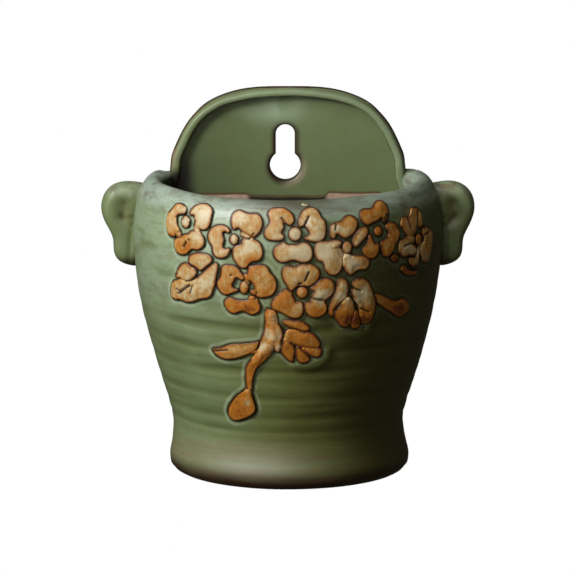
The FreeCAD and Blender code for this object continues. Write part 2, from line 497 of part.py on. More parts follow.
def pot_wall(vase, body, hollow):
    """The thrown wall: the hollowed form in front of the back slab."""
    shell = vase.boolean("Part::Cut", "wall_shell", body, hollow)
    wide = "Sizes.belly_radius + Sizes.overrun"
    behind = box(vase, "behind_wall", (f"-({wide})", "-Sizes.slab_thickness", "-Sizes.overrun"),
                 (wide, wide, "Sizes.pot_height + Sizes.overrun"))
    return vase.finish(vase.boolean("Part::Cut", "pot_wall", shell, behind))


def floor_slab(vase, hollow):
    """The floor, which fills the foot of the hollow up to its thickness."""
    wide = "Sizes.belly_radius + Sizes.overrun"
    room = box(vase, "floor_room", (f"-({wide})", f"-Sizes.axis_setback - ({wide})", "0"),
               (wide, "-Sizes.slab_thickness", "Sizes.floor_thickness"))
    return vase.finish(vase.boolean("Part::Common", "floor_slab", hollow, room))


def arch_curve(vase, inset, depth):
    """The arch's outline as one smooth edge from left foot to right foot, at a depth in Y."""
    half_width = vase.size("arch_half_width") - inset
    rise = vase.size("arch_rise") - inset
    foot = vase.size("arch_foot")
    right = [FreeCAD.Vector(half_width * width_share, depth, foot + rise * rise_share)
             for width_share, rise_share in ARCH_SHARES]
    left = [FreeCAD.Vector(-point.x, point.y, point.z) for point in right[:-1]]
    curve = Part.BSplineCurve()
    up = FreeCAD.Vector(0, 0, 1)
    curve.interpolate(Points=left + right[::-1], InitialTangent=up, FinalTangent=-up)
    return curve


def arch_plate(vase):
    """The plate of the arch, with a skirt that runs down into the slab."""
    front = -vase.size("slab_thickness")
    curve = arch_curve(vase, 0, front)
    left = curve.StartPoint
    right = curve.EndPoint
    down = FreeCAD.Vector(0, 0, -vase.size("arch_skirt"))
    wire = Part.Wire([curve.toShape(), Part.makeLine(right, right + down),
                      Part.makeLine(right + down, left + down), Part.makeLine(left + down, left)])
    outline = vase.shape("arch_outline", wire)
    plate = vase.add("Part::Extrusion", "arch_plate", LengthFwd="Sizes.slab_thickness")
    plate.Base = outline
    plate.DirMode = "Custom"
    plate.Dir = FreeCAD.Vector(0, 1, 0)
    plate.Solid = True
    return plate


def keyhole_sketch(vase, body):
    """The keyhole's outline on the wall plane: a round entry with a slot above it."""
    sketch = body.newObject("Sketcher::SketchObject", "keyhole_outline")
    plane = next(item for item in body.Origin.OriginFeatures if item.Role == "XZ_Plane")
    sketch.AttachmentSupport = [(plane, "")]
    sketch.MapMode = "FlatFace"
    sketch.setExpression("AttachmentOffset.Base.x", "-Sizes.keyhole_offset")
    radius = vase.size("entry_radius")
    half = vase.size("slot_half_width")
    height = vase.size("entry_height")
    top = height + vase.size("slot_rise")
    notch = math.acos(half / radius)
    shoulder = height + radius * math.sin(notch)
    normal = FreeCAD.Vector(0, 0, 1)
    entry = Part.Circle(FreeCAD.Vector(0, height, 0), normal, radius)
    end = Part.Circle(FreeCAD.Vector(0, top, 0), normal, half)
    sketch.addGeometry(Part.ArcOfCircle(entry, math.pi - notch, 2 * math.pi + notch), False)
    right = (FreeCAD.Vector(half, shoulder, 0), FreeCAD.Vector(half, top, 0))
    left = (FreeCAD.Vector(-half, top, 0), FreeCAD.Vector(-half, shoulder, 0))
    sketch.addGeometry(Part.LineSegment(*right), False)
    sketch.addGeometry(Part.ArcOfCircle(end, 0, math.pi), False)
    sketch.addGeometry(Part.LineSegment(*left), False)
    return sketch


def constrain_keyhole(vase, sketch):
    """Closes the keyhole's outline and binds its sizes to the sheet."""
    rule = Sketcher.Constraint
    sketch.addConstraint([
        rule("Coincident", 0, 2, 1, 1),
        rule("Tangent", 1, 2, 2, 1),
        rule("Tangent", 2, 2, 3, 1),
        rule("Coincident", 3, 2, 0, 1),
        rule("PointOnObject", 0, 3, -2),
        rule("PointOnObject", 2, 3, -2),
        rule("Vertical", 1),
    ])
    bindings = (
        (rule("Radius", 0, vase.size("entry_radius")), "Sizes.entry_radius"),
        (rule("Radius", 2, vase.size("slot_half_width")), "Sizes.slot_half_width"),
        (rule("DistanceY", -1, 1, 0, 3, vase.size("entry_height")), "Sizes.entry_height"),
        (rule("DistanceY", 0, 3, 2, 3, vase.size("slot_rise")), "Sizes.slot_rise"),
    )
    for constraint, expression in bindings:
        number = sketch.addConstraint(constraint)
        sketch.setExpression(f"Constraints[{number}]", expression)


def edges_where(shape, test):
    """The names of a shape's edges that pass a test on their bounding box."""
    return [f"Edge{number}" for number, edge in enumerate(shape.Edges, start=1) if test(edge.BoundBox)]


def rounding(body, name, feature, edges, radius):
    """A fillet on a feature's edges."""
    item = body.newObject("PartDesign::Fillet", name)
    item.Base = (feature, edges)
    item.setExpression("Radius", radius)
    return item


def back_slab(vase, body_blank):
    """The flat back: the thrown form's chord below, the arch above, and the keyhole."""
    wide = "Sizes.belly_radius + Sizes.overrun"
    room = box(vase, "slab_room", (f"-({wide})", "-Sizes.slab_thickness", "0"),
               (wide, "0", "Sizes.pot_height"))
    lower = vase.boolean("Part::Common", "slab_lower", body_blank, room)
    whole = vase.boolean("Part::Fuse", "slab_blank", lower, arch_plate(vase))
    body = vase.add("PartDesign::Body", "back_slab")
    body.BaseFeature = whole
    vase.document.recompute()
    sketch = keyhole_sketch(vase, body)
    constrain_keyhole(vase, sketch)
    pocket = body.newObject("PartDesign::Pocket", "keyhole")
    pocket.Profile = sketch
    pocket.Type = "ThroughAll"
    pocket.Midplane = True
    vase.document.recompute()
    front = -vase.size("slab_thickness")
    height = vase.size("entry_height")
    radius = vase.size("entry_radius")
    slack = vase.size("keyhole_round")
    reach = radius + slack + vase.size("keyhole_offset")
    low = height - radius - slack
    high = height + vase.size("slot_rise") + radius
    near_front = edges_where(pocket.Shape, lambda b: (
        abs(b.YMin - front) < slack / 10 and abs(b.YMax - front) < slack / 10
        and b.XMax < reach and b.XMin > -reach and b.ZMin > low and b.ZMax < high))
    keyhole_edge = rounding(body, "keyhole_edge", pocket, near_front, "Sizes.keyhole_round")
    vase.document.recompute()
    sides = edges_where(keyhole_edge.Shape, lambda b: (
        abs(b.YMin) < slack / 10 and abs(b.YMax) < slack / 10
        and b.ZLength > height / 2 and (b.XMin > reach or b.XMax < -reach)))
    rounding(body, "slab_edges", keyhole_edge, sides, "Sizes.slab_edge_round")
    return vase.finish(body)


def arch_lip(vase):
    """The strip round the arch, which stands forward of the slab and leans inwards."""
    thickness = vase.size("lip_thickness")
    drop = FreeCAD.Vector(0, 0, -vase.size("lip_drop"))
    sections = []
    for number, (reach_share, lean_share, thickness_share) in enumerate(LIP_SHARES, start=1):
        depth = -vase.size("slab_thickness") - vase.size("lip_reach") * reach_share
        outside = arch_curve(vase, vase.size("lip_lean") * lean_share, depth)
        inside = arch_curve(vase, thickness * thickness_share + vase.size("lip_lean") * lean_share, depth)
        edges = [outside.toShape(), inside.toShape()]
        for outer, inner in ((outside.StartPoint, inside.StartPoint), (outside.EndPoint, inside.EndPoint)):
            corners = (outer, outer + drop, inner + drop, inner)
            edges += [Part.makeLine(start, end) for start, end in zip(corners, corners[1:])]
        sections.append(vase.shape(f"lip_section_{number}", Part.Wire(Part.__sortEdges__(edges))))
    lip = vase.add("Part::Loft", "arch_lip")
    lip.Sections = sections
    lip.Solid = True
    return vase.finish(lip)


def ear_section(vase, name, side, breadth_share, swell_share):
    """One level outline of an ear, drawn in towards its middle by its share of the swell."""
    width = vase.size("ear_width")
    length = vase.size("ear_length")
    bottom = vase.size("pot_height") - vase.size("ear_drop") - length
    depth = -vase.size("slab_thickness") - vase.size("ear_clearance")
    depth -= vase.size("ear_breadth") * breadth_share
    points = []
    for width_share, length_share in EAR_SHARES:
        across = EAR_MIDDLE_SHARE[0] + (width_share - EAR_MIDDLE_SHARE[0]) * swell_share
        upward = EAR_MIDDLE_SHARE[1] + (length_share - EAR_MIDDLE_SHARE[1]) * swell_share
        points.append(FreeCAD.Vector(side * (vase.size("ear_root") + width * across), depth,
                                     bottom + length * upward))
    curve = Part.BSplineCurve()
    curve.interpolate(Points=points, PeriodicFlag=True)
    return vase.shape(name, Part.Wire([curve.toShape()]))


def ear(vase, name, side, body_blank):
    """A curled ear: a rounded lug with a scooped hollow, seated on the wall."""
    lug = vase.add("Part::Loft", f"{name}_lug")
    lug.Sections = [ear_section(vase, f"{name}_section_{number}", side, *shares)
                    for number, shares in enumerate(EAR_SWELL_SHARES, start=1)]
    lug.Solid = True
    front = "(Sizes.slab_thickness + Sizes.ear_clearance + Sizes.ear_breadth)"
    valley = vase.add("Part::Ellipsoid", f"{name}_valley", Radius1="Sizes.valley_half_length",
                      Radius2="Sizes.valley_half_width", Radius3="Sizes.valley_depth",
                      Placement__Base__x=f"{side} * Sizes.valley_offset",
                      Placement__Base__y=f"-{front}",
                      Placement__Base__z="Sizes.pot_height - Sizes.valley_drop")
    scooped = vase.boolean("Part::Cut", f"{name}_scooped", lug, valley)
    return vase.finish(vase.boolean("Part::Cut", name, scooped, body_blank))


def relief_shell(vase, name, height, body_blank):
    """The front half of a skin on the wall, as thick as a relief stands high."""
    grown = blank(vase, f"{name}_blank", height)
    skin = vase.boolean("Part::Cut", f"{name}_skin", grown, body_blank)
    wide = "Sizes.belly_radius + Sizes.overrun"
    room = box(vase, f"{name}_room", (f"-({wide})", f"-Sizes.axis_setback - ({wide})", "-Sizes.overrun"),
               (wide, "-Sizes.axis_setback", "Sizes.pot_height + Sizes.overrun"))
    return vase.boolean("Part::Common", name, skin, room)


def drawing_placement(vase, across_share, up_share):
    """Where a relief's middle lies on the leaning drawing plane."""
    turn = FreeCAD.Rotation(FreeCAD.Vector(1, 0, 0), 90 - DRAWING_TILT)
    front = vase.size("belly_radius") + vase.size("axis_setback")
    upward = vase.size("pot_height") * up_share - front * math.sin(math.radians(DRAWING_TILT))
    middle = FreeCAD.Vector(vase.size("belly_radius") * across_share, upward, 0)
    return FreeCAD.Placement(turn.multVec(middle), turn)


def carried(vase, name, faces, placement, shell):
    """Flat faces on the drawing plane, carried onto the wall as pieces of a shell."""
    outline = vase.shape(f"{name}_outline", Part.Compound(faces), placement)
    run = vase.add("Part::Extrusion", f"{name}_run",
                   LengthFwd="2 * (Sizes.belly_radius + Sizes.axis_setback + Sizes.overrun)")
    run.Base = outline
    run.DirMode = "Custom"
    run.Dir = placement.Rotation.multVec(FreeCAD.Vector(0, 0, 1))
    run.Solid = True
    return vase.finish(vase.boolean("Part::Common", name, run, shell))


def smooth_face(points):
    """A flat face inside a smooth closed outline."""
    curve = Part.BSplineCurve()
    curve.interpolate(Points=points, PeriodicFlag=True)
    return Part.Face(Part.Wire([curve.toShape()]))


def relief(vase, name, shell):
    """One blossom, leaf or stem, each petal a solid of its own."""
    broad, high = vase.size("half_petal"), vase.size("petal_rise")
    faces = [smooth_face([FreeCAD.Vector(broad * across, high * upward, 0) for across, upward in outline])
             for outline in PETAL_SHARES[name]]
    place = PLACE_SHARES[SHARED_MIDDLES.get(name, name)]
    return carried(vase, name, faces, drawing_placement(vase, *place), shell)


def pellet(vase, name, place, offset, half_size, shell):
    """An oval pellet; its offset and half size are shares of half a petal's breadth and height."""
    broad, high = vase.size("half_petal"), vase.size("petal_rise")
    points = []
    for step in range(8):
        angle = math.pi * step / 4
        points.append(FreeCAD.Vector(broad * (offset[0] + half_size[0] * math.cos(angle)),
                                     high * (offset[1] + half_size[1] * math.sin(angle)), 0))
    return carried(vase, name, [smooth_face(points)], drawing_placement(vase, *place), shell)


def check(vase):
    """Stops if any object failed or any piece isn't one or more sound solids."""
    for item in vase.document.Objects:
        if "Invalid" in item.State or "Error" in item.State:
            raise RuntimeError(f"{item.Label} did not build: {item.State}")
    for piece in vase.pieces:
        shape = piece.Shape
        if shape.isNull() or not shape.isValid() or not shape.Solids:
            raise RuntimeError(f"{piece.Label} has no sound solid")
        print(f"{piece.Label}: {len(shape.Solids)} solids, {shape.Volume:.1f} mm3")


def export(vase):
    """Writes each piece to its own file."""
    os.makedirs("parts", exist_ok=True)
    for piece in vase.pieces:
        piece.Shape.exportStep(os.path.join("parts", f"{piece.Label}.step"))


def main():
    """Builds the vase, checks it and writes its pieces."""
    vase = Vase()
    body_blank = blank(vase, "thrown_blank")
    hollow = cavity(vase)
    pot_wall(vase, body_blank, hollow)
    floor_slab(vase, hollow)
    back_slab(vase, body_blank)
    arch_lip(vase)
    ear(vase, "left_ear", -1, body_blank)
    ear(vase, "right_ear", 1, body_blank)
    petal_shell = relief_shell(vase, "petal_shell", "Sizes.petal_height", body_blank)
    eye_shell = relief_shell(vase, "eye_shell", "Sizes.eye_height", body_blank)
    stem_shell = relief_shell(vase, "stem_shell", "Sizes.stem_height", body_blank)
    for name in PETAL_SHARES:
        relief(vase, name, stem_shell if name in LOW_RELIEF else petal_shell)
    for name, shares in EYE_SHARES.items():
        pellet(vase, f"{name}_eye", PLACE_SHARES[name], shares[:2], shares[2:], eye_shell)
    for name, shares in PELLET_SHARES.items():
        pellet(vase, name, shares[:2], (0, 0), shares[2:], stem_shell)
    vase.document.recompute()
    check(vase)
    export(vase)


main()
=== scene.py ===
"""Hanging wall vase of celadon stoneware with applied blossoms, dressed over its fixed frame."""

import logging
import math
from collections.abc import Callable, Iterable, Sequence
from dataclasses import dataclass, field
from enum import Enum

import bmesh
import bpy
from mathutils import Matrix, Vector, noise
from mathutils.bvhtree import BVHTree

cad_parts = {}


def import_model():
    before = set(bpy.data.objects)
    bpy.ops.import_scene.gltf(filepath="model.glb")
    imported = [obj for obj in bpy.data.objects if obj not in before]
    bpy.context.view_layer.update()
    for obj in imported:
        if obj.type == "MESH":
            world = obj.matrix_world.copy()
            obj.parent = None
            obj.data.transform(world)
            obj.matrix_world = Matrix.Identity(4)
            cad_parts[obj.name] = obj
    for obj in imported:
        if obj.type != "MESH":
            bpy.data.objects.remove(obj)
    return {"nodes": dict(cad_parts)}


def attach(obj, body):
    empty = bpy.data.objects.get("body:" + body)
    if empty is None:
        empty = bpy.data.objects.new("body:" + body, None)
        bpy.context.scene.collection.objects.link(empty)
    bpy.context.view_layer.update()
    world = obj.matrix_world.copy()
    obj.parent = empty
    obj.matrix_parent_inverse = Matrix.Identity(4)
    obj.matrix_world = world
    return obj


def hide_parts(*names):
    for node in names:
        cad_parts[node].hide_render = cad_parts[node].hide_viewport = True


LOG = logging.getLogger("wall_vase")

MM = 0.001
PAPER_WIDTH = 576

Rgb = tuple[int, int, int]
Spot = tuple[float, float]
Span = tuple[float, float]


def tint(colour: Rgb) -> tuple[float, float, float, float]:
    """Turns an 8-bit display colour into the linear colour that shaders take.

    Args:
        colour: Red, green and blue from 0 to 255.

    Returns:
        Linear red, green, blue and an alpha of one.
    """
    linear = [((part / 255 + 0.055) / 1.055) ** 2.4 if part > 10 else part / 255 / 12.92 for part in colour]
    return (linear[0], linear[1], linear[2], 1.0)


def bump_of(distance: float, reach: float) -> float:
    """A soft bump: one at no distance, fading to nothing past the reach."""
    return math.exp(-(distance / reach) ** 2)


def ease(value: float, low: float, high: float) -> float:
    """Rises smoothly from zero at low to one at high."""
    share = min(max((value - low) / (high - low), 0.0), 1.0)
    return share * share * (3 - 2 * share)


# Layout


@dataclass(frozen=True)
class Layout:
    """Where the vase's main lines lie, in metres of the row frame, and how it was drawn.

    The rings are shares of the belly's radius and of the pot's height. The front drawing is in pixels.
    """

    middle: float = 0.0012
    setback: float = 0.0218
    foot: float = -0.1377
    pot_height: float = 0.1364
    belly: float = 0.071
    rim_radius: float = 0.0622
    passes: int = 8
    tilt: float = math.radians(11.5)
    pixel: float = 0.00046
    drawn_middle: float = 288.0
    drawn_foot: float = 456.6
    rings: tuple[Spot, ...] = (
        (0.755, 0.0), (0.766, 0.048), (0.752, 0.092), (0.743, 0.165), (0.771, 0.230), (0.835, 0.337),
        (0.894, 0.447), (0.946, 0.557), (0.980, 0.667), (1.0, 0.808), (0.981, 0.905), (0.938, 0.974),
    )

    def radius(self, height: float) -> float:
        """The thrown wall's outer radius at a height above the foot.

        Args:
            height: Height above the foot, in metres.

        Returns:
            The radius in metres.
        """
        points = [(up * self.pot_height, across * self.belly) for across, up in self.rings]
        points.append((self.pot_height, self.rim_radius))
        if height <= points[0][0]:
            return points[0][1]
        if height >= points[-1][0]:
            return points[-1][1]
        upper = next(number for number, point in enumerate(points) if point[0] > height)
        (low, start), (high, end) = points[upper - 1], points[upper]

        def slope(number: int) -> float:
            """The curve's slope at one of its points."""
            before, after = points[max(number - 1, 0)], points[min(number + 1, len(points) - 1)]
            return (after[1] - before[1]) / (after[0] - before[0])

        span = high - low
        share = (height - low) / span
        square, cube = share * share, share ** 3
        return ((2 * cube - 3 * square + 1) * start + (cube - 2 * square + share) * span * slope(upper - 1)
                + (3 * square - 2 * cube) * end + (cube - square) * span * slope(upper))

    def outward(self, point: Vector) -> Vector:
        """The level direction away from the thrown wall's axis."""
        return Vector((point.x - self.middle, point.y + self.setback, 0)).normalized()

    def lift(self, point: Vector) -> float:
        """How far a point stands out of the thrown wall, in metres."""
        return math.hypot(point.x - self.middle, point.y + self.setback) - self.radius(point.z - self.foot)

    def drawn(self, point: Vector) -> Spot:
        """Where a point falls on the front drawing, in its own units.

        Args:
            point: A point in the row frame.

        Returns:
            Across and down the drawing.
        """
        up = (point.z - self.foot) * math.cos(self.tilt) + point.y * math.sin(self.tilt)
        return (self.drawn_middle + (point.x - self.middle) / self.pixel, self.drawn_foot - up / self.pixel)

    def on_wall(self, spot: Spot) -> Vector:
        """The point of the thrown wall that a spot on the front drawing shows.

        Args:
            spot: Across and down the drawing.

        Returns:
            The point in the row frame.
        """
        across = (spot[0] - self.drawn_middle) * self.pixel
        up = (self.drawn_foot - spot[1]) * self.pixel
        depth, height = -self.setback - self.belly, 0.0
        for _ in range(self.passes):
            height = (up - depth * math.sin(self.tilt)) / math.cos(self.tilt)
            radius = self.radius(height)
            depth = -self.setback - math.sqrt(max(radius * radius - across * across, 0.0))
        return Vector((self.middle + across, depth, self.foot + height))


LAYOUT = Layout()


def from_segment(spot: Spot, start: Spot, end: Spot) -> float:
    """The distance on the drawing from a spot to a straight stroke.

    Args:
        spot: The spot measured from.
        start: One end of the stroke.
        end: Its other end.

    Returns:
        The distance in drawing units.
    """
    along = (end[0] - start[0], end[1] - start[1])
    length = along[0] ** 2 + along[1] ** 2
    share = ((spot[0] - start[0]) * along[0] + (spot[1] - start[1]) * along[1]) / length if length else 0.0
    share = min(max(share, 0.0), 1.0)
    return math.hypot(spot[0] - start[0] - along[0] * share, spot[1] - start[1] - along[1] * share)


# Shader writing


class Wire:
    """One value in a shader, which Python's operators work on by adding Math nodes."""

    def __init__(self, shader: "Shader", socket: bpy.types.NodeSocket) -> None:
        """Keeps the shader and the socket that carries the value."""
        self.shader = shader
        self.socket = socket

    def maths(self, operation: str, *others: "Wire | float") -> "Wire":
        """Adds a Math node that starts from this value."""
        return self.shader.maths(operation, self, *others)

    def __add__(self, other: "Wire | float") -> "Wire":
        """Adds."""
        return self.maths("ADD", other)

    def __radd__(self, other: float) -> "Wire":
        """Adds, from the right."""
        return self.maths("ADD", other)

    def __sub__(self, other: "Wire | float") -> "Wire":
        """Takes away."""
        return self.maths("SUBTRACT", other)

    def __rsub__(self, other: float) -> "Wire":
        """Is taken away from a number."""
        return self.shader.maths("SUBTRACT", other, self)

    def __mul__(self, other: "Wire | float") -> "Wire":
        """Multiplies."""
        return self.maths("MULTIPLY", other)

    def __rmul__(self, other: float) -> "Wire":
        """Multiplies, from the right."""
        return self.maths("MULTIPLY", other)

    def __truediv__(self, other: "Wire | float") -> "Wire":
        """Divides."""
        return self.maths("DIVIDE", other)

    def __rtruediv__(self, other: float) -> "Wire":
        """Divides a number."""
        return self.shader.maths("DIVIDE", other, self)

    def __neg__(self) -> "Wire":
        """Turns the sign."""
        return self.maths("MULTIPLY", -1.0)

    def beside(self, output: str | int) -> "Wire":
        """Another output of the node that gives this value."""
        return Wire(self.shader, self.socket.node.outputs[output])

    def ramp(self, low: float, high: "Wire | float") -> "Wire":
        """Rises smoothly from zero at low to one at high."""
        return self.shader.node("ShaderNodeMapRange", {"interpolation_type": "SMOOTHSTEP"},
                                {"Value": self, "From Min": low, "From Max": high})

    def hill(self, middle: float, reach: float) -> "Wire":
        """One at the middle, fading to zero past the reach on both sides."""
        away = (self - middle) / reach
        return self.shader.maths("EXPONENT", -(away * away))


class Shader:
    """A material's nodes."""

    def __init__(self, name: str) -> None:
        """Starts an empty material.

        Args:
            name: The material's name.
        """
        self.material = bpy.data.materials.new(name)
        self.material.use_nodes = True
        self.tree = self.material.node_tree
        self.tree.nodes.clear()
        place = self.node("ShaderNodeTexCoord", {}, {}, "Object")
        self.place = self.node("ShaderNodeVectorMath", {"operation": "SCALE"}, {0: place, "Scale": 1 / MM})
        self.x = self.node("ShaderNodeSeparateXYZ", {}, {0: self.place})
        self.y = self.x.beside(1)
        self.z = self.x.beside(2)

    def node(self, kind: str, settings: dict[str, object], inputs: dict[str | int, object],
             output: str | int = 0) -> Wire:
        """Adds any node: its settings first, then its sockets.

        Args:
            kind: The node's type.
            settings: Properties to set.
            inputs: Values or wires for its sockets.
            output: The socket that the result is read from.

        Returns:
            The node's output, or its input where it has no output.
        """
        node = self.tree.nodes.new(kind)
        for key, value in settings.items():
            setattr(node, key, value)
        for key, value in inputs.items():
            if isinstance(value, Wire):
                self.tree.links.new(value.socket, node.inputs[key])
            else:
                node.inputs[key].default_value = value
        return Wire(self, (node.outputs or node.inputs)[output])

    def maths(self, operation: str, *values: Wire | float) -> Wire:
        """Adds one Math node."""
        return self.node("ShaderNodeMath", {"operation": operation}, dict(enumerate(values)))

    def mix(self, share: Wire | float, start: Wire | Rgb, end: Wire | Rgb, blend: str = "MIX") -> Wire:
        """Mixes two colours.

        Args:
            share: How much of the second colour shows.
            start: The first colour.
            end: The second colour.
            blend: How the second is laid over the first.

        Returns:
            The mixed colour.
        """
        colours = [value if isinstance(value, Wire) else tint(value) for value in (start, end)]
        return self.node("ShaderNodeMix", {"data_type": "RGBA", "blend_type": blend, "clamp_factor": True},
                         {0: share, 6: colours[0], 7: colours[1]}, 2)

    def up(self) -> Wire:
        """Height above the foot in millimetres."""
        return self.z - LAYOUT.foot / MM

    def aside(self) -> Wire:
        """Distance from the vase's middle to either side, in millimetres."""
        return self.maths("ABSOLUTE", self.x - LAYOUT.middle / MM)

    def length(self, across: Wire, along: Wire) -> Wire:
        """The length of a line that goes so far across and so far along."""
        return self.maths("SQRT", across * across + along * along)

    def noise(self, size: float, detail: float = 2.0, roughness: float = 0.5,
              stretch: Sequence[float] = (1, 1, 1), shift: float = 0.0) -> Wire:
        """Noise whose features are about a given size.

        Args:
            size: The size of a feature in millimetres.
            detail: How many finer layers it has.
            roughness: How strong those are.
            stretch: How much finer it is along each axis.
            shift: Moves it, so that two noises differ.

        Returns:
            A value around a half.
        """
        place = self.node("ShaderNodeMapping", {}, {"Vector": self.place, "Location": (shift, shift, shift),
                                                    "Scale": tuple(stretch)})
        return self.node("ShaderNodeTexNoise", {}, {"Vector": place, "Scale": 1 / size, "Detail": detail,
                                                    "Roughness": roughness})

    def specks(self, spacing: float, size: float, share: float) -> Wire:
        """Small scattered dots.

        Args:
            spacing: The distance between possible dots in millimetres.
            size: A dot's radius in millimetres.
            share: The share of the places that hold a dot.

        Returns:
            One inside a dot and zero elsewhere.
        """
        cells = self.node("ShaderNodeTexVoronoi", {}, {"Vector": self.place, "Scale": 1 / spacing}, "Color")
        chance = self.node("ShaderNodeSeparateXYZ", {}, {0: cells})
        near = 1 - cells.beside("Distance").ramp(size / spacing * 0.5, size / spacing)
        return near * self.maths("LESS_THAN", chance, share)

    def painted(self, name: str) -> Wire:
        """Reads a value stored on the mesh's points."""
        return self.node("ShaderNodeAttribute", {"attribute_name": name}, {}, "Fac")

    def close(self, colour: Wire, roughness: Wire, height: Wire, coat: float,
              strength: float) -> bpy.types.Material:
        """Joins the colour, gloss and relief into the finished surface.

        Args:
            colour: The base colour.
            roughness: How dull the surface is.
            height: Fine relief in millimetres.
            coat: How much clear glaze lies on top.
            strength: How strongly the fine relief shows.

        Returns:
            The material.
        """
        normal = self.node("ShaderNodeBump", {}, {"Strength": strength, "Distance": MM, "Height": height},
                           "Normal")
        surface = self.node("ShaderNodeBsdfPrincipled", {}, {
            "Base Color": colour, "Roughness": roughness, "Normal": normal, "Coat Weight": coat,
            "Coat Roughness": 0.28, "IOR": 1.5})
        return self.output(surface)

    def output(self, surface: Wire) -> bpy.types.Material:
        """Wires a surface to the material's output, which finishes the material."""
        self.node("ShaderNodeOutputMaterial", {}, {"Surface": surface})
        return self.material


# Finishes


class Part(Enum):
    """The parts that the green glaze covers."""

    WALL = "wall"
    SLAB = "slab"
    LIP = "lip"
    EAR = "ear"
    CUP = "cup"


class Coat:
    """Colours laid on one surface, each over the last."""

    def __init__(self, shader: Shader, ground: Rgb) -> None:
        """Starts with the ground colour."""
        self.shader = shader
        self.colour: Wire | Rgb = ground

    def lay(self, share: Wire | float, colour: Wire | Rgb, blend: str = "MIX") -> None:
        """Lays another colour over a share of what is there."""
        self.colour = self.shader.mix(share, self.colour, colour, blend)


@dataclass(frozen=True)
class CeladonGlaze:
    """A satin grey green glaze, paler where it runs thin, brown where it breaks over an edge.

    In this glaze and those made from it, a Span holds the two places, in millimetres, between which a
    colour comes in, and a Spot the middle of a patch and how far it reaches.
    """

    part: Part
    green: Rgb = (117, 131, 88)
    olive: Rgb = (90, 97, 55)
    pale: Rgb = (158, 176, 146)
    brown: Rgb = (46, 26, 10)
    thin_brown: Rgb = (122, 104, 80)
    clay: Rgb = (182, 152, 134)
    # near black used for painted shadow
    painted_shadow: Rgb = (14, 12, 5)
    cloudy: float = 0.35
    gloss_coat: float = 0.25

    def material(self) -> bpy.types.Material:
        """Makes the glaze for its part.

        Returns:
            The material.
        """
        shader = Shader(f"celadon_{self.part.value}")
        cloud = shader.noise(30, 2, 0.5)
        mottle = shader.noise(4.5, 4, 0.6, shift=7)
        grain = shader.noise(0.8, 2, 0.6, shift=3)
        coat = Coat(shader, self.green)
        coat.lay(cloud.ramp(0.35, 0.75) * self.cloudy, self.olive)
        coat.lay(mottle.ramp(0.4, 0.8) * 0.12, self.pale)
        coat.lay(grain.ramp(0.55, 0.8) * 0.12, self.olive)
        coat.lay(shader.specks(8.0, 0.3, 0.25) * 0.6, self.brown)
        relief = mottle * 0.12 + grain * 0.05 + cloud * 0.3 + self.dress(coat, mottle)
        return shader.close(coat.colour, 0.45 + mottle * 0.12, relief, self.gloss_coat, 0.7)

    def dress(self, coat: Coat, mottle: Wire) -> Wire | float:
        """Lays what is special to the part.

        Args:
            coat: The colours so far.
            mottle: Small unevenness.

        Returns:
            Relief of its own, in millimetres.
        """
        bend = coat.shader.painted("bend")
        coat.lay(bend.ramp(0.15, 1.0) * 0.85, self.brown)
        coat.lay((1 - bend.ramp(-0.9, -0.1)) * mottle.ramp(0.42, 0.6) * 0.4, self.thin_brown)
        return 0.0


